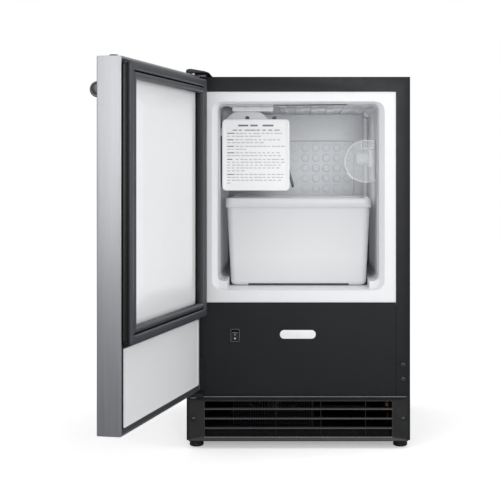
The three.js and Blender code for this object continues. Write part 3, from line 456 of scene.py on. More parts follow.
def block_mesh(name, low, high, radius, steps=3):
    """A block with rounded edges between two corners."""
    work = bmesh.new()
    bmesh.ops.create_cube(work, size=1)
    low, high = Vector(low), Vector(high)
    for vertex in work.verts:
        vertex.co = Vector((low[k] + (high[k] - low[k]) * (vertex.co[k] + 0.5) for k in range(3)))
    bmesh.ops.bevel(
        work, geom=work.edges[:], offset=radius, segments=steps, profile=0.5, affect="EDGES"
    )
    mesh = bpy.data.meshes.new(name)
    work.to_mesh(mesh)
    work.free()
    mesh.shade_smooth()
    mesh.set_sharp_from_angle(angle=math.radians(38))
    return mesh


def framing(left, right, low, high, y):
    """The corners of a route round a rectangle that faces the front."""
    return [(left, y, low), (right, y, low), (right, y, high), (left, y, high)]


channel_margin, channel_radius, channel_bend = 0.0128, 0.0013, 0.009
channel_route = framing(
    pillow_left - channel_margin,
    pillow_left + (pillow_columns - 1) * pillow_pitch + channel_margin,
    pillow_foot - channel_margin,
    pillow_foot + (pillow_row_count - 1) * pillow_row + channel_margin,
    back_low.y,
)
channel = tube_mesh("raised_channel", channel_route, channel_radius, True, 12, channel_bend)
fit("evaporator_channel", channel, plate_finish, "cabinet")

# The feed channel stands down the right wall near the back, and blown ridges cross the sleeve's roof.
sleeve_low, sleeve_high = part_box("evaporator_sleeve")
feed_x, feed_y, feed_top = sleeve_high.x - 0.0055, back_low.y - 0.014, sleeve_high.z - 0.0035
feed_radius = 0.0062
feed_foot = sleeve_low.z + 0.012
feed_route = [(feed_x, feed_y - 0.05, feed_top), (feed_x, feed_y, feed_top), (feed_x, feed_y, feed_foot)]
feed_channel = tube_mesh("feed", feed_route, feed_radius, False, 20, channel_bend)
fit("evaporator_feed_channel", feed_channel, plate_finish, "cabinet")
ridge_length, ridge_pitch = sleeve_high.y - sleeve_low.y - 0.03, 0.028
ridge = block_mesh("ridge", (-0.0065, 0, -0.0016), (0.0065, ridge_length, 0.0012), 0.0011, 3)
roof_ridges = in_rows(
    "roof_ridges",
    ridge,
    plate_finish,
    (sleeve_low.x + 0.024, sleeve_low.y + 0.016, sleeve_high.z - 0.0016),
    columns=9,
    step=(ridge_pitch, 0, 0),
)
fit("evaporator_roof_ridges", roof_ridges, plate_finish, "cabinet")

# A thin dark tube between the sleeve's roof and the liner stands for the shadow in the gap there: a painted
# shadow.
gap_shadow_finish = moulded("joint_sealant", "rubber", (0.015, 0.015, 0.017), (0.025, 0.025, 0.028), 0.6)
gap_shadow_radius = 0.0006
gap_shadow_top = sleeve_high.z - gap_shadow_radius
gap_shadow_start, gap_shadow_end = middle - 0.0425, middle + 0.0825
gap_shadow_route = [(gap_shadow_start, sleeve_low.y, gap_shadow_top - 0.0012), (gap_shadow_end, sleeve_low.y, gap_shadow_top)]
fit("roof_joint", tube_mesh("joint", gap_shadow_route, gap_shadow_radius, False, 8), gap_shadow_finish, "cabinet")


# ---- Machine compartment
# Below the foam, a galvanised pan carries the compressor, the condenser with its fan, the drier and the
# water valve. Copper pipes join them, bent from soft tube and brazed at the ends.

black_moulding = moulded(
    "black_moulding",
    "black_plastic",
    (0.007, 0.0074, 0.0082),
    (0.0105, 0.011, 0.012),
    0.42,
    0.0009,
    0.00004,
)
dull_black = moulded(
    "dull_black_enamel",
    "cast_aluminium",
    (0.004, 0.0042, 0.0045),
    (0.0075, 0.008, 0.0085),
    0.6,
    0.0008,
    0.00004,
)
pale_moulding = moulded(
    "pale_moulding", "pale_plastic", (0.66, 0.675, 0.695), (0.73, 0.745, 0.76), 0.36
)

enamel = powder_coat("compressor_enamel", "black_paint", (0.011, 0.0112, 0.012), (0.02, 0.0203, 0.0215))

zinc = Finish("zinc_plate", "plated_steel", Metallic=1.0)
zinc.tint(zinc.noise(0.003, 4), (0.4, 0.41, 0.42), (0.66, 0.67, 0.68))
zinc.drive("Roughness", zinc.noise(0.002, 4) * 0.3 + 0.14)
zinc.relief(zinc.noise(0.0006, 2), 0.00002)

dark_zinc = Finish("black_zinc_plate", "plated_steel", Metallic=0.9)
dark_zinc.tint(dark_zinc.noise(0.003, 4), (0.06, 0.062, 0.066), (0.13, 0.133, 0.14))
dark_zinc.drive("Roughness", dark_zinc.noise(0.002, 4) * 0.2 + 0.3)
dark_zinc.relief(dark_zinc.noise(0.0006, 2), 0.00002)

copper_tube = Finish("copper_tube", "copper", Metallic=1.0)
tarnish = copper_tube.noise(0.012, 5)
copper_tube.tint(tarnish, (0.36, 0.15, 0.08), (0.83, 0.43, 0.27))
copper_tube.drive("Roughness", tarnish * 0.45 + 0.1)
copper_tube.relief(copper_tube.noise(0.0015, 3), 0.00002)

# The galvanised pan is coloured near black, a painted shade, so that its front lip stays dark behind the kick
# plate's window.
shaded_pan_zinc = Finish("aged_zinc", "galvanised", Metallic=0.6, Specular_IOR_Level=0.2)
shaded_pan_zinc.tint(shaded_pan_zinc.cells(0.009), (0.008, 0.0085, 0.009), (0.014, 0.0145, 0.0155))
shaded_pan_zinc.drive("Roughness", shaded_pan_zinc.noise(0.01, 3) * 0.2 + 0.5)
shaded_pan_zinc.relief(shaded_pan_zinc.noise(0.004, 4), 0.00003)
eased("base_pan", shaded_pan_zinc, 0.0006)
eased("rear_service_cover", galvanised, 0.0003)
eased("fan_shroud", black_moulding, 0.0015)
eased("fan_motor", galvanised, 0.0016)
eased("cord_gland", black_moulding, 0.0006)
eased("water_valve", pale_moulding, 0.0014)

# Compressor: two pressed cups welded at the waist, on a plate with rubber grommets.
pump_low, pump_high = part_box("compressor")
pump = axis_of(pump_low, pump_high, "z")
pump_radius = (pump_high.x - pump_low.x) / 2
pump_foot = pump_low.z + 0.01
pump_waist = pump_foot + 0.083
pump_profile = [(0, pump_foot + 0.003), (pump_radius * 0.6, pump_foot + 0.003)]
for out, down in quarter(6):
    pump_profile.append((pump_radius * (0.6 + 0.36 * out), pump_foot + 0.033 - 0.03 * down))
pump_profile += [
    (pump_radius * 0.965, pump_waist - 0.003),
    (pump_radius * 0.995, pump_waist - 0.002),
    (pump_radius * 0.995, pump_waist + 0.002),
    (pump_radius * 0.965, pump_waist + 0.003),
    (pump_radius * 0.95, pump_waist + 0.02),
]
for up, out in quarter(9, 1):
    height = pump_waist + 0.02 + (pump_high.z - pump_waist - 0.0205) * up
    pump_profile.append((pump_radius * 0.95 * out, height))
pump_shell = turned("compressor_shell", "z", pump, pump_profile, 64)
fit("compressor_shell", pump_shell, enamel, "cabinet", "compressor")

plate_reach = 0.93 * pump_radius
pump_plate = block_mesh(
    "compressor_plate",
    (pump[0] - plate_reach, pump[1] - plate_reach, pump_foot - 0.002),
    (pump[0] + plate_reach, pump[1] + plate_reach, pump_foot + 0.002),
    0.0008,
)
fit("compressor_plate", pump_plate, enamel, "cabinet")

rubber = moulded(
    "soft_black_rubber", "rubber", (0.033, 0.035, 0.039), (0.047, 0.049, 0.054), 0.62, 0.0007, 0.00006
)
grommet_profile = [(0, 0), (0.0075, 0), (0.008, 0.001), (0.008, 0.0035), (0.006, 0.0045), (0.008, 0.0055)]
grommet_profile += [(0.008, 0.0075), (0.0075, 0.0082), (0, 0.0082)]
grommet_reach = 2 * (plate_reach - 0.011)
grommets = in_rows(
    "grommets",
    turned("grommet", "z", (0, 0, 0), grommet_profile, 28),
    rubber,
    (pump[0] - grommet_reach / 2, pump[1] - grommet_reach / 2, pump_low.z),
    columns=2,
    step=(grommet_reach, 0, 0),
    rows=2,
    row_step=(0, grommet_reach, 0),
)
fit("compressor_grommets", grommets, rubber, "cabinet")

# Condenser: a serpentine tube through pressed fins, all dipped in black enamel.
coil_low, coil_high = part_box("condenser")
fin_count = 34
fin_pitch = (coil_high.x - coil_low.x - 0.008) / (fin_count - 1)
fin = block_mesh(
    "fin", (-0.0004, coil_low.y, coil_low.z + 0.004), (0.0004, coil_high.y, coil_high.z), 0.0002, 1
)
fins = in_rows(
    "fins", fin, dull_black, (coil_low.x + 0.004, 0, 0), columns=fin_count, step=(fin_pitch, 0, 0)
)
fit("condenser_fins", fins, dull_black, "cabinet", "condenser")

coil_rows, coil_row = 7, coil_low.y + 0.019
coil_route = []
for i in range(coil_rows):
    height = coil_low.z + 0.018 + i * (coil_high.z - coil_low.z - 0.032) / (coil_rows - 1)
    ends = (coil_low.x + 0.0045, coil_high.x - 0.0045)
    coil_route += [(ends[i % 2], coil_row, height), (ends[(i + 1) % 2], coil_row, height)]
fit("condenser_tube", tube_mesh("coil", coil_route, 0.0032, False, 12, 0.004), dull_black, "cabinet")
coil_skid = block_mesh(
    "condenser_skid", coil_low, (coil_high.x, coil_high.y, coil_low.z + 0.003), 0.0006, 2
)
fit("condenser_skid", coil_skid, dull_black, "cabinet")


def joint_named(name):
    return next(joint for joint in frame["joints"] if joint["name"] == name)


# Fan: five twisted blades round a hub on the motor's shaft.
fan_low, fan_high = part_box("condenser_fan")
fan_spin = joint_named("condenser_fan_spin")
fan_centre = (fan_spin["pos_m"][0], 0, fan_spin["pos_m"][2])
hub_places = ((0, 0), (0.011, 0.0004), (0.0155, 0.0025), (0.017, 0.006), (0.017, 0.0165), (0.003, 0.0165))
hub_profile = [(radius, fan_low.y + depth) for radius, depth in hub_places]
hub_profile += [(0.003, fan_high.y), (0, fan_high.y)]
hub = turned("fan_hub", "y", fan_centre, hub_profile, 40)
fan_work = bmesh.new()
fan_work.from_mesh(hub)
blade_count, blade_spans = 5, 8
blade_section = ((-1, 0.0002), (-0.4, 0.0009), (0.4, 0.0009), (1, 0.0002), (0.4, -0.0006), (-0.4, -0.0006))
for blade in range(blade_count):
    lap = 2 * math.pi * blade / blade_count
    rings = []
    for i in range(blade_spans + 1):
        share = i / blade_spans
        radius = 0.0165 + 0.04 * share
        pitch = 0.95 - 0.5 * share
        chord = 0.013 + 0.011 * math.sin(math.pi * min(1, 0.2 + share * 0.75))
        section = []
        for edge, skin_side in blade_section:
            along = edge * chord / 2 * math.cos(pitch)
            depth = edge * chord / 2 * math.sin(pitch) * 0.8 + skin_side
            angle = lap + 0.35 * share + along / radius
            spot = (radius * math.cos(angle), fan_low.y + 0.0085 + depth, radius * math.sin(angle))
            section.append(fan_work.verts.new(Vector(spot) + Vector(fan_centre)))
        rings.append(section)
    for near, far in zip(rings, rings[1:]):
        for i in range(len(near)):
            j = (i + 1) % len(near)
            fan_work.faces.new((near[i], near[j], far[j], far[i]))
    fan_work.faces.new(rings[0])
    fan_work.faces.new(list(reversed(rings[-1])))
bmesh.ops.recalc_face_normals(fan_work, faces=fan_work.faces)
fan_mesh = bpy.data.meshes.new("fan")
fan_work.to_mesh(fan_mesh)
fan_work.free()
fan_mesh.shade_smooth()
fan_mesh.set_sharp_from_angle(angle=math.radians(45))
fit("condenser_fan_moulding", fan_mesh, black_moulding, "fan", "condenser_fan")

# Drier: a spun copper can between two capillaries.
drier_low, drier_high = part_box("filter_drier")
drier = (*axis_of(drier_low, drier_high, "z")[:2], drier_low.z)
drier_profile = [(0, 0), (0.004, 0), (0.004, 0.014)]
for i, (up, _) in enumerate(quarter(6, 1)):
    drier_profile.append((0.004 + 0.007 * (i + 1) / 6, 0.014 + 0.012 * up))
drier_profile += [(0.0105, 0.034), (0.011, 0.036), (0.011, 0.1)]
for i in range(6):
    drier_profile.append((0.011 - 0.0075 * (i + 1) / 6, 0.1 + 0.016 * (i + 1) / 6))
drier_profile += [(0.0035, 0.14), (0, 0.14)]
fit("drier_can", turned("drier", "z", drier, drier_profile, 40), copper_tube, "cabinet", "filter_drier")

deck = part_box("foam_insulation")[0].z
liquid_route = [
    (pump[0] + 0.03, pump[1], pump_high.z - 0.022),
    (pump[0] + 0.03, pump[1], deck - 0.012),
    (drier[0], pump[1], deck - 0.012),
    (drier[0], drier[1], deck - 0.012),
    (drier[0], drier[1], drier_high.z - 0.003),
]
fit("liquid_pipe", tube_mesh("liquid", liquid_route, 0.003, False, 16, 0.012), copper_tube, "cabinet")
riser, coil_side = pump[0] - pump_radius - 0.018, coil_high.x + 0.012
discharge_route = [
    (pump[0] - pump_radius * 0.8, pump[1], pump_waist + 0.045),
    (riser, pump[1], pump_waist + 0.045),
    (riser, pump[1], deck - 0.02),
    (coil_side, pump[1], deck - 0.02),
    (coil_side, coil_row, deck - 0.02),
    (coil_side, coil_row, coil_route[-1][2]),
    (coil_high.x - 0.005, coil_row, coil_route[-1][2]),
]
fit(
    "discharge_pipe",
    tube_mesh("discharge", discharge_route, 0.0032, False, 16, 0.011),
    copper_tube,
    "cabinet",
)

# Fixing screws of the back: pan heads with a cross slot.
def cross_screw(radius, height):
    """A domed screw head on +Y with a cross slot."""
    profile = [(0, 0), (radius, 0), (radius, height * 0.35)]
    for up, out in quarter(5, 1):
        profile.append((radius * out, height * (0.35 + 0.65 * up)))
    head = turned("screw_head", "y", (0, 0, 0), profile, 24)
    slots = []
    for wide, tall in ((0.11, 0.65), (0.65, 0.11)):
        low = (-radius * wide, height * 0.45, -radius * tall)
        high = (radius * wide, height * 2, radius * tall)
        slots.append(block_mesh("slot", low, high, 0.00005, 1))
    return cut_away(head, slots, 40)


screw_radius, screw_height = 0.0036, 0.0016
screw_side, screw_end = 0.007, 0.01
screw_mesh = cross_screw(screw_radius, screw_height)
screw_rows = (("back_screws", "cabinet_back_panel", 5), ("service_screws", "rear_service_cover", 3))
for name, node, count in screw_rows:
    low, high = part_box(node)
    screws = in_rows(
        name,
        screw_mesh.copy(),
        zinc,
        (low.x + screw_side, high.y - 0.0001, low.z + screw_end),
        columns=2,
        step=(high.x - low.x - 2 * screw_side, 0, 0),
        rows=count,
        row_step=(0, 0, (high.z - low.z - 2 * screw_end) / (count - 1)),
    )
    fit(name, screws, zinc, "cabinet")

# Levelling feet: moulded rubber cups, grooved at the sole, on plated studs.
foot_rubber = moulded(
    "foot_rubber", "rubber", (0.008, 0.0085, 0.0095), (0.013, 0.0135, 0.015), 0.6, 0.0007, 0.00006
)
foot_profile = [(0, 0), (0.0085, 0), (0.0092, 0.0003), (0.0105, 0.0008), (0.0115, 0.0018), (0.012, 0.0034)]
foot_profile += [(0.012, 0.0055), (0.0114, 0.0061), (0.0114, 0.0067), (0.012, 0.0073), (0.012, 0.0106)]
foot_profile += [(0.0117, 0.0116), (0.0108, 0.012), (0.004, 0.012), (0.004, 0.038), (0, 0.038)]
for corner in ("front_left", "front_right", "rear_left", "rear_right"):
    foot_mesh = turned("foot", "z", axis_of(*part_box("foot_" + corner), "z"), foot_profile)
    fit("rubber_foot_" + corner, foot_mesh, foot_rubber, corner + "_foot", "foot_" + corner)


# ---- Lower front panel
# A flat coated sheet between the stiles, screwed behind the kick plate. It carries the power switch and a
# small blank badge, stuck on.

eased("lower_front_panel", black_paint, 0.0003)


def rounded_ring(low_u, high_u, low_v, high_v, radius, steps=8):
    """A rounded rectangle's points, anticlockwise."""
    points = []
    centres = [
        (high_u - radius, high_v - radius),
        (low_u + radius, high_v - radius),
        (low_u + radius, low_v + radius),
        (high_u - radius, low_v + radius),
    ]
    for quarter, (u, v) in enumerate(centres):
        for i in range(steps + 1):
            angle = math.pi / 2 * (quarter + i / steps)
            points.append((u + radius * math.cos(angle), v + radius * math.sin(angle)))
    return points


def skin(name, rings, looped=False, crease=38):
    """A closed mesh through rings of points. Its ends are capped, or its last ring meets its first."""
    count = len(rings[0])
    points = [point for ring in rings for point in ring]
    faces = []
    for r in range(len(rings) if looped else len(rings) - 1):
        near, far = r * count, ((r + 1) % len(rings)) * count
        for i in range(count):
            j = (i + 1) % count
            faces.append((near + i, near + j, far + j, far + i))
    if not looped:
        faces.append(tuple(reversed(range(count))))
        faces.append(tuple(range((len(rings) - 1) * count, len(rings) * count)))
    return clean_mesh(name, points, faces, crease)


def front_ring(low, high, inset, y, radius, steps=8, end=None):
    """A ring that faces the front, inset from a box at its sides and at its ends."""
    end = inset if end is None else end
    ring = rounded_ring(low.x + inset, high.x - inset, low.z + end, high.z - end, radius, steps)
    return [(x, y, z) for x, z in ring]


def facing(low, high, radius, places, steps=8):
    """Rings of a piece that faces the front: each place is (inset, y)."""
    return [front_ring(low, high, inset, y, max(radius - inset, 0.0002), steps) for inset, y in places]


badge_finish = Finish("badge_white", "pale_plastic", Roughness=0.35)
badge_finish.tint(badge_finish.noise(0.01, 3), (0.78, 0.79, 0.8), (0.86, 0.87, 0.88))
badge_finish.relief(badge_finish.noise(0.001, 2), 0.00001)
badge_half = Vector((0.03, 0, 0.00725))
badge_centre = Vector((middle - 0.001, 0, 0.1905))
badge_places = [(0.0, front), (0, front - 0.0007), (0.0003, front - 0.001), (0.0016, front - 0.0012)]
badge_box = (badge_centre - badge_half, badge_centre + badge_half)
badge_rings = facing(*badge_box, badge_half.z - 0.0002, badge_places, 12)
fit("blank_badge", skin("badge", badge_rings), badge_finish, "cabinet")


# ---- Power switch
# A snap-in housing with a glossy bezel, and a rocker that tips in it. The rocker carries only the usual
# line and dot, printed white.

gloss_black = moulded(
    "gloss_black_moulding",
    "black_plastic",
    (0.018, 0.019, 0.021),
    (0.026, 0.027, 0.029),
    0.22,
    0.002,
    0.00001,
)
eased("switch_housing", gloss_black, 0.0006)
eased("power_rocker", gloss_black, 0.0005, 3)

print_white = Finish("white_print", "pale_plastic", Roughness=0.5)
print_white.tint(print_white.noise(0.002, 2), (0.6, 0.6, 0.6), (0.72, 0.72, 0.72))
rocker = frame["nodes"]["power_rocker"].data
rocker_low, rocker_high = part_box("power_rocker")
rocker_middle = (rocker_low.x + rocker_high.x) / 2


def rocker_spot(height):
    """The point at a height on the rocker's face, and the face's slope there."""
    below = above = None
    edge = sorted(
        {(round(v.co.z, 6), round(v.co.y, 6)) for v in rocker.vertices if v.co.y < front + 0.0035}
    )
    for near, far in zip(edge, edge[1:]):
        if near[0] <= height <= far[0]:
            below, above = near, far
    share = (height - below[0]) / max(above[0] - below[0], 1e-6)
    return below[1] + (above[1] - below[1]) * share, (above[1] - below[1]) / max(
        above[0] - below[0], 1e-6
    )


# The bezel's outline and a line across the rocker's upper face are thin tubes in a lighter black: painted
# highlights where the glossy edges catch light.
bezel_low, bezel_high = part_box("switch_housing")
bezel_highlight_inset = 0.0004
bezel_highlight_route = framing(
    bezel_low.x + bezel_highlight_inset,
    bezel_high.x - bezel_highlight_inset,
    bezel_low.z + bezel_highlight_inset,
    bezel_high.z - bezel_highlight_inset,
    bezel_low.y + bezel_highlight_inset,
)
# Lighter blacks for painted highlight lines along black edges, here and on the kick plate.
edge_highlight = moulded(
    "worn_black_edge", "black_plastic", (0.16, 0.163, 0.17), (0.24, 0.245, 0.255), 0.4, 0.0009, 0.00003
)
bezel_edge = moulded(
    "bezel_edge", "black_plastic", (0.12, 0.123, 0.13), (0.17, 0.173, 0.18), 0.4, 0.0009, 0.00003
)
fit("switch_bezel_bead", tube_mesh("bezel", bezel_highlight_route, 0.0005, True, 8, 0.0015), bezel_edge, "cabinet")
switch_height = axis_of(bezel_low, bezel_high, "y")[2]
rocker_highlight_height = switch_height + 0.0047
rocker_highlight_depth = rocker_spot(rocker_highlight_height)[0] - 0.0001
rocker_highlight_ends = (rocker_low.x + 0.0006, rocker_high.x - 0.0006)
rocker_highlight_route = [(x, rocker_highlight_depth, rocker_highlight_height) for x in rocker_highlight_ends]
fit("rocker_ridge", tube_mesh("ridge", rocker_highlight_route, 0.0005, False, 8), edge_highlight, "rocker")
for mark, rise, width, tall in (("line", 0.0013, 0.0007, 0.003), ("dot", -0.0052, 0.0026, 0.0026)):
    height = switch_height + rise
    depth, slope = rocker_spot(height)
    rings = []
    for lift in (0.0002, -0.00012):
        ring = rounded_ring(-width / 2, width / 2, -tall / 2, tall / 2, width / 2.01, 6)
        rings.append([(rocker_middle + u, depth + lift + v * slope, height + v) for u, v in ring])
    fit("rocker_" + mark, skin("mark", rings), print_white, "rocker")


# ---- Kick plate
# One black moulding: a frame with three louvre blades across its window, and ribs behind them that keep
# the blades apart. A countersunk screw at each end holds it to the cabinet.

# The louvre blades are coloured a lighter black than the frame they are moulded with: a painted highlight on
# the blades.
louvre_black = moulded(
    "louvre_black", "black_plastic", (0.036, 0.037, 0.04), (0.05, 0.052, 0.056), 0.34, 0.0009, 0.00004
)
kick_low, kick_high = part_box("kick_grille")
window_side, window_low, window_high = 0.027, 0.0075, 0.0076
slat_count, slat_height = 3, 0.0039
window = (
    kick_low.x + window_side,
    kick_high.x - window_side,
    kick_low.z + window_low,
    kick_high.z - window_high,
)
slot_height = (window[3] - window[2] - slat_count * slat_height) / (slat_count + 1)
slat_pitch = slot_height + slat_height


near, far = kick_low.y, kick_high.y
outside = ((0, far), (0, near + 0.0014), (0.0004, near + 0.0004), (0.0012, near))
outside += ((0.0022, near + 0.00025), (0.0026, near + 0.0005))
inside = ((0.0014, near + 0.0005), (0.0004, near + 0.0008), (0, near + 0.0014), (0, far))
window_low_corner, window_high_corner = Vector((window[0], 0, window[2])), Vector(
    (window[1], 0, window[3])
)
grille_rings = [front_ring(kick_low, kick_high, inset, y, 0.003 - inset * 0.8) for inset, y in outside]
for grow, y in inside:
    grille_rings.append(front_ring(window_low_corner, window_high_corner, -grow, y, 0.0022 + grow))

screw_seats = []
front_screw = screw_mesh.copy()
front_screw.transform(Matrix.Rotation(math.pi, 4, "Z"))


def place_screw(name, node, finish, depth):
    """A front-facing screw head in place of a CAD screw. Returns its axis and the depth of its seat."""
    low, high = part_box(node)
    axis = axis_of(low, high, "y")
    head = front_screw.copy()
    head.transform(Matrix.Translation((axis[0], high.y - depth, axis[2])))
    fit(name, head, finish, "cabinet", node)
    return axis, high.y


for side in ("left", "right"):
    seat, seat_floor = place_screw(
        "kick_plate_screw_" + side, "grille_screw_" + side, dark_zinc, 0.0006
    )
    seat_profile = [(0, near - 0.01), (0.005, near - 0.01), (0.005, seat_floor), (0, seat_floor)]
    screw_seats.append(turned("seat", "y", seat, seat_profile, 32))
grille_plate = cut_away(skin("grille_plate", grille_rings, True), screw_seats)

slat_back = far - near
slat_profile = [(0.0011, -0.0012), (0.0003, -0.0008), (0, -0.0001), (0.0003, 0.0008), (0.0011, 0.0014)]
slat_profile += [(0.0028, 0.00195), (slat_back, 0.00195), (slat_back, -0.00035), (0.0028, -0.0012)]
slat_reach = (window[1] - window[0]) / 2 + 0.0005
slat_rings = [[(side * slat_reach, near + y, z) for y, z in slat_profile] for side in (-1, 1)]
slats = in_rows(
    "slats",
    skin("slat", slat_rings, crease=50),
    black_moulding,
    (middle, 0, window[2] + slot_height + slat_height / 2),
    rows=slat_count,
    row_step=(0, 0, slat_pitch),
)
rib = block_mesh(
    "rib", (-0.0005, far - 0.001, window[2] - 0.001), (0.0005, far, window[3] + 0.001), 0.0002, 2
)
rib_pitch = 0.075
ribs = in_rows(
    "ribs", rib, black_moulding, (middle - rib_pitch / 2, 0, 0), columns=3, step=(rib_pitch, 0, 0)
)
fit("kick_plate", grille_plate, black_moulding, "cabinet", "kick_grille")
fit("kick_plate_louvres", slats, louvre_black, "cabinet")
fit("kick_plate_ribs", ribs, dull_black, "cabinet")
# Thin tubes in lighter black round the window and along the top edge are painted highlights where the
# moulding's edges catch light.
bead = 0.0006
window_highlight_route = framing(*window, near + 0.001)
window_edge_highlight = moulded(
    "quiet_black_edge",
    "black_plastic",
    (0.03, 0.031, 0.034),
    (0.045, 0.047, 0.05),
    0.4,
    0.0009,
    0.00003,
)
fit(
    "kick_plate_window_bead",
    tube_mesh("bead", window_highlight_route, bead * 0.8, True, 8, 0.002),
    window_edge_highlight,
    "cabinet",
)
foot_highlight_route = [(x, near + 0.0006, window[2] - bead) for x in window[:2]]
fit("kick_plate_foot_bead", tube_mesh("bead", foot_highlight_route, bead, False, 8), edge_highlight, "cabinet")
top_highlight_route = [(x, near + 0.0006, kick_high.z - bead) for x in (kick_low.x + 0.004, kick_high.x - 0.004)]
fit("kick_plate_top_bead", tube_mesh("bead", top_highlight_route, bead, False, 8), edge_highlight, "cabinet")

# Two plugs close the spare hinge holes in the right stile.
for place in ("upper", "lower"):
    low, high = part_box("stile_plug_" + place)
    centre = axis_of(low, high, "y")
    profile = [(0, high.y), (0.0036, high.y), (0.0036, low.y + 0.0006)]
    profile += [(0.0031, low.y + 0.0001), (0.0024, low.y)]
    profile += [(0.0019, low.y + 0.0005), (0, low.y + 0.0006)]
    fit(
        "plug_" + place,
        turned("plug", "y", centre, profile, 32),
        dark_zinc,
        "cabinet",
        "stile_plug_" + place,
    )
    pip = [(0, low.y + 0.0008), (0.0023, low.y + 0.0008), (0.0023, low.y + 0.0002), (0, low.y + 0.0002)]
    fit("plug_centre_" + place, turned("pip", "y", centre, pip, 24), foot_rubber, "cabinet")


# ---- Ice maker
# A motor head with a round-topped case hangs at the front of a cast mould. The rake's fingers lift the
# ice over the comb, water comes from the tube into the cup behind, and the bent wire feels the ice in the
# bin.

cast_aluminium = Finish("cast_aluminium", "cast_aluminium", Metallic=0.9)
casting = cast_aluminium.noise(0.0025, 5)
cast_aluminium.tint(casting, (0.3, 0.31, 0.32), (0.52, 0.53, 0.54))
cast_aluminium.drive("Roughness", casting * 0.3 + 0.35)
cast_aluminium.relief(cast_aluminium.cells(0.0012), 0.00012)

head_moulding = moulded(
    "head_moulding", "pale_plastic", (0.6, 0.61, 0.63), (0.67, 0.68, 0.7), 0.4, 0.0012, 0.00003
)
eased("ice_mold", cast_aluminium, 0.0012)
eased("ejector", pale_moulding, 0.0007)
eased("ice_stripper", pale_moulding, 0.0006)
eased("fill_cup", pale_moulding, 0.0007)
eased("icemaker_bracket", white_liner, 0.0005)

head_low, head_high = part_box("icemaker_head")
arch_radius = 0.047
arch_x, arch_z = head_low.x - 0.006 + arch_radius + 0.001, head_high.z - arch_radius


def head_outline(inset):
    """The motor case seen from the front: square below, a half round above at the left."""
    points = []
    radius = arch_radius - inset
    for i in range(33):
        angle = math.pi * i / 32
        points.append((arch_x + radius * math.cos(angle), arch_z + radius * math.sin(angle)))
    corner = 0.004
    left, right, low = head_low.x + inset, head_high.x - inset, head_low.z + inset
    left_spots = [(left, arch_z - 0.001)]
    for i in range(7):
        angle = math.pi + math.pi / 2 * i / 6
        left_spots.append(
            (left + corner + corner * math.cos(angle), low + corner + corner * math.sin(angle))
        )
    right_spots = []
    for i in range(7):
        angle = math.pi / 2 * i / 6 - math.pi / 2
        right_spots.append(
            (right - corner + corner * math.cos(angle), low + corner + corner * math.sin(angle))
        )
    for up, out in quarter(4)[:-1]:
        right_spots.append((right - corner + corner * out, arch_z - corner + corner * up))
    shoulder = arch_x + math.sqrt(max(radius**2 - 1e-8, 0))
    right_spots.append((max(shoulder + 0.0004, right - corner), arch_z))
    return points + left_spots + right_spots


head_places = [(0.0, head_high.y), (0, head_low.y + 0.0025)]
head_places += [(0.0004, head_low.y + 0.001), (0.0012, head_low.y + 0.0003)]
head_places += [(0.0025, head_low.y)]
head_rings = [[(x, y, z) for x, z in head_outline(inset)] for inset, y in head_places]
fit("icemaker_motor_case", skin("head", head_rings), head_moulding, "cabinet", "icemaker_head")

# Two dark screws show above the cover, on the case's round top.
case_screw_start = (middle - 0.0882, head_low.y + 0.0001, head_high.z - 0.016374)
case_screw_step = (0.0467, 0, 0)
case_screws = in_rows(
    "case_screws", front_screw.copy(), dark_zinc, case_screw_start, columns=2, step=case_screw_step
)
fit("case_screws", case_screws, dark_zinc, "cabinet")

tube_low, tube_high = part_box("fill_tube")
tube_centre = axis_of(tube_low, tube_high, "y")
tube_profile = [(0.0035, tube_low.y), (0.0048, tube_low.y)]
tube_profile += [(0.005, tube_low.y + 0.0004), (0.005, tube_high.y - 0.0004)]
tube_profile += [(0.0048, tube_high.y), (0.0035, tube_high.y), (0.0035, tube_low.y)]
fit(
    "water_tube",
    turned("fill_tube", "y", tube_centre, tube_profile, 32),
    pale_moulding,
    "cabinet",
    "fill_tube",
)

arm_low, arm_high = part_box("shutoff_arm")
arm_pivot = joint_named("shutoff_arm_lift")["pos_m"]
wire = 0.0018
arm_route = [
    (arm_pivot[0], arm_low.y, arm_pivot[2]),
    (arm_pivot[0], arm_low.y + 0.0078, arm_pivot[2]),
    (arm_high.x - wire, arm_low.y + 0.0078, arm_low.z + wire),
    (arm_high.x - wire, arm_high.y - 0.0159, arm_low.z + wire),
    (arm_pivot[0], arm_high.y - 0.0159, arm_pivot[2]),
    (arm_pivot[0], arm_high.y, arm_pivot[2]),
]
fit(
    "feeler_wire",
    tube_mesh("feeler", arm_route, wire * 0.97, False, 16, 0.004),
    dark_zinc,
    "arm",
    "shutoff_arm",
)

# Cover: a white moulded plate with a raised rim. The rows of grey bars on its card stand for printed lines.
cover_low, cover_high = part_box("icemaker_cover")
rim = 0.005
rim_places = ((0, 0.0012), (0.0004, 0.0003), (0.0012, 0))
rim_places += ((rim - 0.0012, 0), (rim - 0.0004, 0.0003), (rim, 0.0012))
cover_places = [(0, cover_high.y)]
cover_places += [(inset, cover_low.y + depth) for inset, depth in rim_places]
cover_rings = facing(cover_low, cover_high, 0.007, cover_places, 10)
cover_mesh = skin("cover", cover_rings)
cover_white = moulded("cover_white", "white_plastic", (0.93, 0.935, 0.94), (0.95, 0.955, 0.96), 0.4)
fit("icemaker_cover_plate", cover_mesh, cover_white, "cabinet", "icemaker_cover")

ink = Finish("grey_print", "pale_plastic", Roughness=0.6)
ink.tint(ink.noise(0.0012, 3), (0.34, 0.345, 0.355), (0.6, 0.605, 0.615))
dark_ink = Finish("dark_print", "pale_plastic", Roughness=0.6)
dark_ink.tint(dark_ink.noise(0.0012, 3), (0.1, 0.105, 0.115), (0.26, 0.265, 0.275))

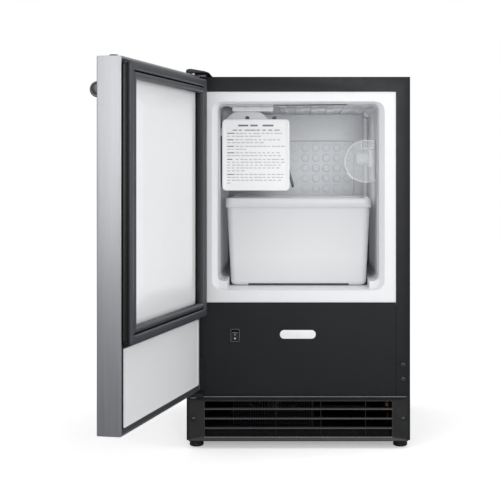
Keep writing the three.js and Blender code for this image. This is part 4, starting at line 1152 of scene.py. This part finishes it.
# Words are grey bars of random lengths in a line, with a blank between them.
words = Growth("printed_words")
word_pitch = words.size("Word pitch")
word_count = words.size("Words", "Int")
bar_height = words.size("Bar height")
pitch_vector = words.node("ShaderNodeCombineXYZ", inputs={"X": word_pitch, "Y": 0.0, "Z": 0.0})
starts = words.node(
    "GeometryNodeMeshLine",
    inputs={"Count": word_count, "Start Location": words.size("Start", "Vector"), "Offset": pitch_vector},
)
lengths = words.node(
    "FunctionNodeRandomValue", {"data_type": "FLOAT"}, {2: 0.55, 3: 0.95, 8: words.size("Seed", "Int")}, 1
)
bar_size = words.node("ShaderNodeCombineXYZ", inputs={"X": 1.0, "Y": 0.00008, "Z": bar_height})
bar = words.node("GeometryNodeMeshCube", inputs={"Size": bar_size})
half_right = words.node("ShaderNodeCombineXYZ", inputs={"X": 0.5, "Y": 0.0, "Z": 0.0})
from_left = words.node("GeometryNodeTransform", inputs={"Geometry": bar, "Translation": half_right})
stretch = words.node("ShaderNodeCombineXYZ", inputs={"X": lengths * word_pitch, "Y": 1.0, "Z": 1.0})
words.ends_in(
    words.node(
        "GeometryNodeInstanceOnPoints",
        inputs={"Points": starts, "Instance": from_left, "Scale": stretch},
    )
)
card_face = cover_low.y + 0.00116
card_left = cover_low.x + 0.0087
card_middle = axis_of(cover_low, cover_high, "y")[0]


def printed_line(left, height, width, tall, count, seed, finish):
    """One line of words on the card."""
    return words.grown(
        "line",
        Words=count,
        Word_pitch=width / count,
        Bar_height=tall,
        Start=(left, card_face, height),
        Seed=seed,
        Material=finish.material,
    )


heading = bmesh.new()
heading.from_mesh(
    printed_line(card_middle - 0.0305, cover_high.z - 0.0108, 0.063, 0.0029, 3, 4, dark_ink)
)
heading.from_mesh(
    printed_line(card_middle - 0.04, cover_high.z - 0.0188, 0.082, 0.0015, 8, 9, dark_ink)
)
body_text = bmesh.new()
line_height, paragraph_gap = 0.00496, 0.00128
line_top = cover_high.z - 0.0243
line_number = 0
for paragraph, lines_in_it in enumerate((2, 2, 2, 2, 5, 4)):
    for line in range(lines_in_it):
        height = line_top - line_number * line_height - paragraph * paragraph_gap
        last = line == lines_in_it - 1
        width = 0.0965 + 0.0045 * math.sin(5 * line_number)
        if last:
            width *= (0.66, 0.64, 0.37, 1.0, 0.33, 0.1)[paragraph]
        indent = 0.0 if line else 0.0145
        word_total = max(1, round((width - indent) / 0.0078))
        seed = 7 + line_number
        body_text.from_mesh(
            printed_line(card_left + indent, height, width - indent, 0.0013, word_total, seed, ink)
        )
        if not line:
            heading.from_mesh(printed_line(card_left, height, 0.0148, 0.0016, 1, seed, dark_ink))
        line_number += 1
for label, print_work, finish in (("heading", heading, dark_ink), ("text", body_text, ink)):
    print_mesh = bpy.data.meshes.new(label)
    print_work.to_mesh(print_mesh)
    print_work.free()
    fit("card_" + label, print_mesh, finish, "cabinet")

# The heater leads leave the case at the wall, in black sleeves.
sleeve_x = sleeve_low.x + 0.0035
for lead, offset in (("front", 0.0), ("rear", 0.005)):
    lead_route = [
        (head_low.x + 0.002, head_high.y + 0.004 + offset, arch_z + 0.02),
        (sleeve_x + 0.001, head_high.y + 0.008 + offset, arch_z + 0.012),
        (sleeve_x, head_high.y + 0.012 + offset, arch_z - 0.03),
        (sleeve_x + 0.0015, head_high.y + 0.02 + offset, head_low.z + 0.02),
        (sleeve_x, back_low.y - 0.012 - offset, head_low.z + 0.012),
        (sleeve_x, back_low.y - 0.002, head_low.z + 0.014 + offset),
    ]
    fit("lead_" + lead, tube_mesh("lead", lead_route, 0.0014, False, 12, 0.006), rubber, "cabinet")


# ---- Thermostat
# A dial on a small switch box at the right wall, inside a clear round guard that is clipped to the wall
# and leaves room for finger tips.

clear_moulding = Finish("clear_moulding", "clear_plastic", IOR=1.45, Roughness=0.12)
haze = clear_moulding.noise(0.02, 3)
clear_moulding.tint(haze, (0.74, 0.76, 0.78), (0.86, 0.87, 0.88))
clear_moulding.drive("Alpha", haze * 0.14 + 0.1)
clear_moulding.relief(clear_moulding.noise(0.0015, 2), 0.00002)
eased("thermostat_guard", clear_moulding, 0.0007, 3)
# The guard's rim and the clip's edge are whiter, nearly opaque tubes: a painted highlight where the clear edges
# catch light.
clear_edge_highlight = Finish("clear_moulding_edge", "clear_plastic", IOR=1.45, Roughness=0.2)
clear_edge_highlight.tint(clear_edge_highlight.noise(0.01, 3), (0.86, 0.87, 0.88), (0.95, 0.95, 0.96))
clear_edge_highlight.drive("Alpha", clear_edge_highlight.noise(0.01, 3) * 0.2 + 0.72)
guard_low, guard_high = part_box("thermostat_guard")
guard_radius = (guard_high.z - guard_low.z) / 2
guard_centre = (guard_low.x + guard_radius, (guard_high.z + guard_low.z) / 2)
wall_x = guard_high.x - 0.001
reach = math.acos(min(1.0, (wall_x - guard_centre[0]) / guard_radius))
rim_route = []
for i in range(49):
    angle = reach + (2 * math.pi - 2 * reach) * i / 48
    across, up = (guard_radius - 0.0009) * math.cos(angle), (guard_radius - 0.0009) * math.sin(angle)
    rim_route.append((guard_centre[0] + across, guard_low.y + 0.0011, guard_centre[1] + up))
fit("guard_rim", tube_mesh("guard_rim", rim_route, 0.0011), clear_edge_highlight, "cabinet")
clip_low, clip_high = guard_high.z - 0.0145, guard_high.z - 0.001
clip_route = framing(wall_x - 0.024, wall_x - 0.002, clip_low, clip_high, guard_low.y + 0.001)
fit(
    "guard_clip_edge",
    tube_mesh("guard_clip", clip_route, 0.0007, True, 8, 0.001),
    clear_edge_highlight,
    "cabinet",
)
eased("thermostat_housing", pale_moulding, 0.0012)

knob_low, knob_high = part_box("thermostat_knob")
knob_centre = axis_of(knob_low, knob_high, "x")
knob_radius = (knob_high.z - knob_low.z) / 2
knob_length = knob_high.x - knob_low.x
knob_profile = [(0, 0.0), (knob_radius * 0.35, 0.0003)]
for out, back in quarter(7):
    knob_profile.append((knob_radius * (0.5 + 0.42 * out), 0.0003 + 0.0062 * (1 - back)))
skirt_radius = knob_radius * 0.985
knob_profile += [(skirt_radius, knob_length - 0.004), (skirt_radius, knob_length), (0, knob_length)]
knob_mesh = turned(
    "knob", "x", knob_centre, [(radius, knob_low.x + along) for radius, along in knob_profile], 60
)
knob_ridge = block_mesh(
    "knob_ridge",
    (knob_low.x + 0.0002, knob_centre[1] - 0.0012, knob_centre[2]),
    (knob_low.x + 0.006, knob_centre[1] + 0.0012, knob_centre[2] + knob_radius * 0.86),
    0.0005,
)
fit("dial", knob_mesh, pale_moulding, "knob", "thermostat_knob")
fit("dial_pointer", knob_ridge, white_liner, "knob")


# ---- Ice bin
# A deep white tub, blow thin, that stands in the trough and slides out under the ice maker. Its rim is
# folded over to make the pull edge, and its walls taper to a rounded foot.

bin_low, bin_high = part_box("ice_bin")
bin_wall, bin_base = 0.0025, 0.006
foot_round = 0.0086
rim_height = 0.0165


def bin_ring(inset, z, corner, depth_inset=None):
    """A ring of the tub at height z, inset from its rim."""
    depth = inset if depth_inset is None else depth_inset
    ring = rounded_ring(
        bin_low.x + inset, bin_high.x - inset, bin_low.y + depth, bin_high.y - depth, corner, 10
    )
    return [(x, y, z) for x, y in ring]


def tub(wall, base):
    """Rings from the foot to below the rim, with the floor a base thickness up."""
    rings = []
    floor = bin_low.z + base
    for out, down in quarter(6):
        side = foot_round * (1 - out)
        height = floor + foot_round * (1 - down)
        rings.append(bin_ring(0.009 + wall + side, height, 0.01 - side * 0.2, 0.007 + wall + side))
    under_rim = 0.0018 + 0.0072 * rim_height / (bin_high.z - bin_low.z)
    rings.append(bin_ring(under_rim + wall, bin_high.z - rim_height - 0.0006, 0.0118))
    return rings


bin_rings = tub(0, 0)
bin_rings += [
    bin_ring(0.0012, bin_high.z - rim_height - 0.0002, 0.0122),
    bin_ring(0.0004, bin_high.z - rim_height, 0.013),
    bin_ring(0.0, bin_high.z - rim_height + 0.0006, 0.013),
    bin_ring(0.0002, bin_high.z - 0.0024, 0.013),
    bin_ring(0.0009, bin_high.z - 0.0008, 0.0126),
    bin_ring(0.0021, bin_high.z, 0.012),
    bin_ring(0.0032, bin_high.z - 0.0003, 0.011),
    bin_ring(0.0041, bin_high.z - 0.0014, 0.0105),
]
bin_rings += list(reversed(tub(bin_wall, bin_base)))
bin_centre = axis_of(bin_low, bin_high, "z")[0]
groove_half, groove_height = 0.0872, 0.0036
under_groove = block_mesh(
    "under_groove",
    (bin_centre - groove_half, bin_low.y - 0.01, bin_low.z - 0.01),
    (bin_centre + groove_half, bin_high.y + 0.01, bin_low.z + groove_height),
    0.0004,
    2,
)
bin_white = moulded(
    "bin_white", "white_plastic", (0.79, 0.8, 0.815), (0.8, 0.81, 0.825), 0.34, 0.004, 0.00001
)
# The tub's white is darker towards the rim: a painted shadow under the rolled rim.
height_in_bin = bin_white.node(
    "ShaderNodeSeparateXYZ", inputs={"Vector": bin_white.place()}, output="Z"
)
under_shadow = {"Value": height_in_bin, "From Min": bin_high.z - 0.1, "From Max": bin_high.z - rim_height}
toward_rim_shade = bin_white.node("ShaderNodeMapRange", inputs=under_shadow)
bin_white.tint(toward_rim_shade, (0.82, 0.83, 0.84), (0.7, 0.71, 0.725))
fit("ice_tub", cut_away(skin("ice_tub", bin_rings), [under_groove]), bin_white, "bin", "ice_bin")


# ---- Hinges
# Bent steel brackets on pins at the top and bottom of the left stile. A moulded cap hides the top
# bracket, and screws hold the bottom one to the stile.

eased("top_hinge_bracket", galvanised, 0.0005)
eased("bottom_hinge_bracket", black_paint, 0.0009, 3)

cap_low, cap_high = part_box("top_hinge_cover")
cap_rise = cap_high.z - cap_low.z


def cap_ring(inset, share, corner, slope=0.0):
    """A ring of the cap at a share of its height. Slope lowers it towards the front."""
    ring = rounded_ring(
        cap_low.x + inset, cap_high.x - inset, cap_low.y + inset, cap_high.y - inset, corner, 8
    )
    rings = []
    for x, y in ring:
        forward = min(1, max(0, (front + 0.012 - y) / (front + 0.012 - cap_low.y)))
        floor = cap_low.z if y > front + 0.001 else cap_low.z + 0.0037
        rightward = max(0, (x - cap_low.x - 0.012) / (cap_high.x - cap_low.x - 0.012))
        rings.append(
            (x, y, max(floor, cap_low.z + cap_rise * share * (1 - 0.5 * rightward) - slope * forward))
        )
    return rings


cap_rings = [
    cap_ring(0.0, 0, 0.008),
    cap_ring(0, 0.66, 0.008, 0.0008),
    cap_ring(0.0005, 0.82, 0.0078, 0.0008),
    cap_ring(0.0018, 0.93, 0.007, 0.0008),
    cap_ring(0.0036, 0.99, 0.006, 0.0008),
    cap_ring(0.005, 1, 0.004, 0.0008),
]
cap_mesh = skin("hinge_cap", cap_rings)
fit("hinge_cap", cap_mesh, black_moulding, "cabinet", "top_hinge_cover")

for pin in ("top_hinge_pin", "bottom_hinge_pin"):
    eased(pin, zinc, 0.0005)
for place in ("upper", "lower"):
    place_screw("bracket_screw_" + place, "hinge_screw_" + place, zinc, 0.0008)


# ---- Door
# A brushed steel skin is folded round the foam and hooked into a black inner frame. The pieces are shaped
# with the door shut, as on the drawing, and then turned with it to its open place.

door_joint = joint_named("door_hinge")
pivot = Matrix.Translation((*door_joint["pos_m"][:2], 0))
opened = pivot @ Matrix.Rotation(math.radians(door_joint["range_deg"][0]), 4, "Z") @ pivot.inverted()
shut = opened.inverted()


def shut_box(node):
    """The corners of a door piece when the door is shut."""
    places = [shut @ v.co for v in frame["nodes"][node].data.vertices]
    return tuple(Vector(pick(place[k] for place in places) for k in range(3)) for pick in (min, max))


def fit_open(name, mesh, finish, *nodes):
    """A door piece that was shaped with the door shut."""
    mesh.transform(opened)
    return fit(name, mesh, finish, "door", *nodes)


brushed_steel = Finish("brushed_steel", "brushed_steel", Metallic=1.0)
grain = brushed_steel.noise(0.0007, 5, (1, 1, 0.006))
long_grain = brushed_steel.noise(0.005, 3, (1, 1, 0.02))
brushed_steel.tint(grain, (0.42, 0.43, 0.45), (0.56, 0.57, 0.59))
brushed_steel.drive("Roughness", grain * 0.14 + long_grain * 0.1 + 0.29)
brushed_steel.relief(grain + 0.5 * long_grain, 0.00006)

skin_low, skin_high = shut_box("door_outer_panel")
lip, end_lip, steel = 0.0022, 0.004, 0.001
fold, roll = 0.0016, 0.0019


# Each place is the inset at the sides, the inset at the ends, and the depth.
skin_places = []
for out, back in quarter(6):
    skin_places.append((fold * (1 - out), fold * (1 - out), skin_low.y + fold * (1 - back)))
for back, out in quarter(5):
    skin_places.append((roll * (1 - out), roll * (1 - out), skin_high.y - roll * (1 - back)))
skin_places += [
    (lip - 0.0002, end_lip - 0.0002, skin_high.y),
    (lip, end_lip, skin_high.y - 0.0003),
    (lip, end_lip, skin_high.y - steel),
    (steel, steel, skin_high.y - steel),
    (steel, steel, skin_low.y + steel),
]
skin_rings = [front_ring(skin_low, skin_high, side, y, 0.0006, 4, end) for side, end, y in skin_places]
steel_mesh = skin("steel_skin", skin_rings)
hinge_axis = axis_of(*shut_box("door_bushing_lower"), "z")
plug_axis = axis_of(*shut_box("door_hole_plug"), "z")
hinge_bore, plug_bore = 0.0068, 0.0043
bores = []
for axis, radius, end in (
    (hinge_axis, hinge_bore, skin_low.z),
    (hinge_axis, hinge_bore, skin_high.z),
    (plug_axis, plug_bore, skin_high.z),
):
    low, high = end - 0.003, end + 0.003
    bores.append(turned("bore", "z", axis, [(0, low), (radius, low), (radius, high), (0, high)], 40))
fit_open("steel_door_skin", cut_away(steel_mesh, bores), brushed_steel, "door_outer_panel")

door_white = moulded(
    "door_white", "white_plastic", (0.86, 0.865, 0.875), (0.88, 0.885, 0.89), 0.38, 0.0016, 0.00001
)
eased("door_foam", foam_finish, 0.0004, 1)
frame_moulding = moulded(
    "frame_moulding",
    "black_plastic",
    (0.006, 0.0063, 0.007),
    (0.009, 0.0095, 0.0105),
    0.42,
    0.0009,
    0.00004,
)
# The frame's bottom rail is coloured a lighter grey than the rest of the moulding: a painted highlight along
# its foot.
frame_height = frame_moulding.node(
    "ShaderNodeSeparateXYZ", inputs={"Vector": frame_moulding.place()}, output="Z"
)
frame_foot = shut_box("door_inner_frame")[0].z
foot_highlight_band = {"Value": frame_height, "From Min": frame_foot + 0.0041, "From Max": frame_foot + 0.0081}
above_foot_highlight = frame_moulding.node("ShaderNodeMapRange", inputs=foot_highlight_band)
foot_highlight_colours = ((0.05, 0.053, 0.057), (0.0075, 0.008, 0.0088))
frame_moulding.tint(above_foot_highlight, *foot_highlight_colours)
eased("door_inner_frame", frame_moulding, 0.0006, 3)
panel_low, panel_high = shut_box("door_inner_panel")
panel_face = panel_low.y + 0.004
panel_places = [(0, panel_low.y, 0.004), (0, panel_face - 0.0006, 0.004)]
panel_places += [(0.0002, panel_face - 0.0001, 0.004), (0.0008, panel_face, 0.004)]
for i in range(13):
    share = i / 12
    y = panel_face + (panel_high.y - panel_face) * (3 * share**2 - 2 * share**3)
    panel_places.append((0.006 + 0.04 * share, y, 0.006 + 0.02 * share))
panel_rings = [front_ring(panel_low, panel_high, inset, y, corner) for inset, y, corner in panel_places]
fit_open("door_inner_moulding", skin("inner_panel", panel_rings), door_white, "door_inner_panel")
eased("door_bushing_lower", pale_moulding, 0.0004)
eased("door_bushing_upper", pale_moulding, 0.0004)
eased("door_hole_plug", dull_black, 0.0005)

lower_low, lower_high = shut_box("door_lower_panel")
lower_moulding = moulded(
    "lower_panel_moulding", "pale_plastic", (0.76, 0.77, 0.785), (0.79, 0.8, 0.81), 0.36
)
lower_face = lower_high.y
lower_places = [(0.0, lower_low.y), (0, lower_face - 0.0004), (0.0003, lower_face), (0.0028, lower_face)]
lower_places += [(0.0034, lower_high.y - 0.0005), (0.006, lower_high.y - 0.0006)]
lower_rings = facing(lower_low, lower_high, 0.003, lower_places)
fit_open("door_lower_moulding", skin("lower_panel", lower_rings), lower_moulding, "door_lower_panel")

# Gasket: one soft ring, pushed into the frame. Its folded outer wall carries a magnet strip in a flat head, and
# a thin lip inside it wipes the liner's flange.
seal_low, seal_high = shut_box("door_gasket")
seal_height = seal_high.y - seal_low.y
seal_profile = [
    (0.0016, 0.0002), (0.0011, 0.0011), (0.0011, 0.0021), (0.0021, 0.0030), (0.0024, 0.0038),
    (0.0012, 0.0047), (0.0007, 0.0056), (0.0012, 0.0065), (0.0026, 0.0071), (0.0026, 0.0076),
    (0.0008, 0.0083), (0.0001, 0.0095), (0.0000, 0.0113), (0.0004, 0.0126), (0.0016, 0.0134),
    (0.0040, seal_height), (0.0092, seal_height), (0.0116, 0.0133), (0.0126, 0.0124),
    (0.0129, 0.0108), (0.0127, 0.0080), (0.0129, 0.0058), (0.0136, 0.0050), (0.0143, 0.0058),
    (0.0145, 0.0090), (0.0147, 0.0114), (0.0155, 0.0127), (0.0170, 0.0133), (0.0198, 0.0134),
    (0.0222, 0.0127), (0.0238, 0.0110), (0.0246, 0.0085), (0.0244, 0.0062), (0.0232, 0.0042),
    (0.0218, 0.0024), (0.0214, 0.0008), (0.0208, 0.0001),
]
seal_rings = []
for inset, height in seal_profile:
    corner = max(0.0055 - inset * 0.32, 0.0006)
    seal_rings.append(front_ring(seal_low, seal_high, inset, seal_low.y + height, corner, 6))
seal_rubber = moulded(
    "seal_rubber", "rubber", (0.036, 0.039, 0.046), (0.053, 0.057, 0.066), 0.38, 0.001, 0.00003
)
# The gasket's walls are coloured near black and its head a lighter grey: painted shade on the walls below the
# head.
seal_out = opened.to_3x3() @ Vector((0, 1, 0))
seal_foot = (opened @ seal_low).dot(seal_out)
seal_spot = {"Vector": seal_rubber.place()}
across = seal_rubber.node("ShaderNodeSeparateXYZ", inputs=seal_spot, output="X")
along = seal_rubber.node("ShaderNodeSeparateXYZ", inputs=seal_spot, output="Y")
seal_rise = across * seal_out.x + along * seal_out.y - seal_foot
head = {"Value": seal_rise, "From Min": seal_height - 0.0035, "From Max": seal_height - 0.0006}
toward_seal_head = seal_rubber.node("ShaderNodeMapRange", inputs=head)
shaded_and_lit_seal_colours = ((0.008, 0.0084, 0.0092), (0.05, 0.054, 0.064))
seal_rubber.tint(toward_seal_head, *shaded_and_lit_seal_colours)
fit_open("door_seal", skin("seal", seal_rings, True, 50), seal_rubber, "door_gasket")

# Handle: a dark satin tube with pressed end caps, on two posts that are coped to it.
satin_steel = Finish("dark_satin_steel", "handle_steel", Metallic=1.0)
turnings = satin_steel.noise(0.0009, 4, (0.03, 1, 1))
satin_steel.tint(turnings, (0.1, 0.102, 0.108), (0.19, 0.193, 0.2))
satin_steel.drive("Roughness", turnings * 0.15 + 0.22)
satin_steel.relief(turnings, 0.00003)
bar_low, bar_high = shut_box("handle_bar")
bar_centre = axis_of(bar_low, bar_high, "x")
bar_radius = (bar_high.z - bar_low.z) / 2
cap_places = ((0, 0.0004), (0.62, 0.0004), (0.7, 0.0008), (0.76, 0.0003))
half_bar = [(bar_radius * share, along) for share, along in cap_places]
bar_easing = 0.0016
for out, back in quarter(4):
    half_bar.append((bar_radius - bar_easing * (1 - out), bar_easing * (1 - back)))
half_bar += [(bar_radius, 0.012), (bar_radius - 0.0002, 0.0123), (bar_radius, 0.0126)]
bar_profile = [(radius, bar_low.x + along) for radius, along in half_bar]
bar_profile += [(radius, bar_high.x - along) for radius, along in reversed(half_bar)]
fit_open(
    "handle_tube", turned("handle_tube", "x", bar_centre, bar_profile, 72), satin_steel, "handle_bar"
)
for side in ("left", "right"):
    eased("handle_post_" + side, satin_steel, 0.0004)


# ---- Studio
# A plain white floor under an even white sky. Soft lights stand overhead, in front and at both sides, and
# small ones light the cavity from inside. The room that the steel reflects is darker near the floor.

scene = bpy.context.scene
scene.view_settings.view_transform = "Standard"

floor_finish = Finish(
    "white_floor", "white_plastic", Roughness=0.8, Specular_IOR_Level=0.1, Emission_Strength=0.38
)
floor_paper = floor_finish.between(floor_finish.noise(0.6, 2), (0.93, 0.93, 0.93), (0.95, 0.95, 0.95))
seen_in_gloss = floor_finish.node("ShaderNodeLightPath", output="Is Glossy Ray")
floor_finish.tint(seen_in_gloss, floor_paper, (0.2, 0.2, 0.205))
seen_straight = floor_finish.node("ShaderNodeLightPath", output="Is Camera Ray")
floor_finish.drive("Emission Color", floor_finish.between(seen_straight, (0, 0, 0), (1, 1, 1)))
floor_mesh = bpy.data.meshes.new("floor")
floor_mesh.from_pydata([(-6, -6, 0), (6, -6, 0), (6, 6, 0), (-6, 6, 0)], [], [(0, 1, 2, 3)])
floor_mesh.materials.append(floor_finish.material)
floor = bpy.data.objects.new("floor", floor_mesh)
scene.collection.objects.link(floor)

world = bpy.data.worlds.new("studio")
world.use_nodes = True
scene.world = world
sky = Nodes(world.node_tree)
background = world.node_tree.nodes["Background"]
background.inputs["Strength"].default_value = 1.0
heading_up = sky.node("ShaderNodeTexCoord", output="Generated")
height_seen = sky.node("ShaderNodeSeparateXYZ", inputs={"Vector": heading_up}, output="Z")
room = sky.node("ShaderNodeMapRange", inputs={"Value": height_seen, "From Min": -0.1, "From Max": 0.45})
room_light = sky.between(room, (0.16, 0.16, 0.165), (0.72, 0.72, 0.725))
seen_directly = sky.node("ShaderNodeLightPath", output="Is Camera Ray")
sky_light = sky.between(seen_directly, room_light, (1.0, 1.0, 1.0))
world.node_tree.links.new(sky_light.socket, background.inputs["Color"])


def soft_light(name, place, target, width, height, power):
    lamp = bpy.data.lights.new(name, "AREA")
    lamp.shape = "RECTANGLE"
    lamp.size = width
    lamp.size_y = height
    lamp.energy = power
    holder = bpy.data.objects.new(name, lamp)
    holder.location = place
    holder.rotation_euler = (Vector(target) - Vector(place)).to_track_quat("-Z", "Y").to_euler()
    scene.collection.objects.link(holder)


aim = (middle, front, 0.35)
soft_light("overhead", (0, -0.6, 2.3), aim, 2.4, 1.8, 8)
soft_light("front_softbox", (0.47, -2.5, 0.78), aim, 0.26, 0.95, 13.5)
soft_light("right_softbox", (2.1, -0.7, 0.8), aim, 1.2, 1.5, 9)
soft_light("left_softbox", (-1.3, -2.3, 0.9), aim, 1.2, 1.4, 9.5)
back_centre = axis_of(back_low, back_high, "y")
cavity = (back_centre[0], back_low.y, back_centre[2])
soft_light("cavity_fill", (cavity[0] + 0.06, front + 0.1, cavity[2] + 0.07), cavity, 0.09, 0.1, 0.17)
wall_spot = (cavity[0] + 0.045, front + 0.1, cavity[2] + 0.07)
soft_light("wall_fill", wall_spot, (cavity[0] + 1, wall_spot[1], wall_spot[2]), 0.08, 0.1, 0.02)
for side in (-1, 1):
    beside_bin = (cavity[0] + side * 0.1275, front + 0.19, cavity[2] - 0.07)
    soft_light(
        "gap_fill", beside_bin, (cavity[0] + side, beside_bin[1], beside_bin[2]), 0.2, 0.13, 0.008
    )

camera = bpy.data.cameras.new("camera")
camera.sensor_width = 36
camera.lens = 88.4
camera.shift_x = -0.1
camera.shift_y = -0.153
view = bpy.data.objects.new("camera", camera)
camera_right, camera_back, camera_height = 0.0027, 2.057, 0.46
view.location = (middle + camera_right, front - camera_back, camera_height)
view.rotation_euler = (math.pi / 2, 0, 0)
scene.collection.objects.link(view)
scene.camera = view
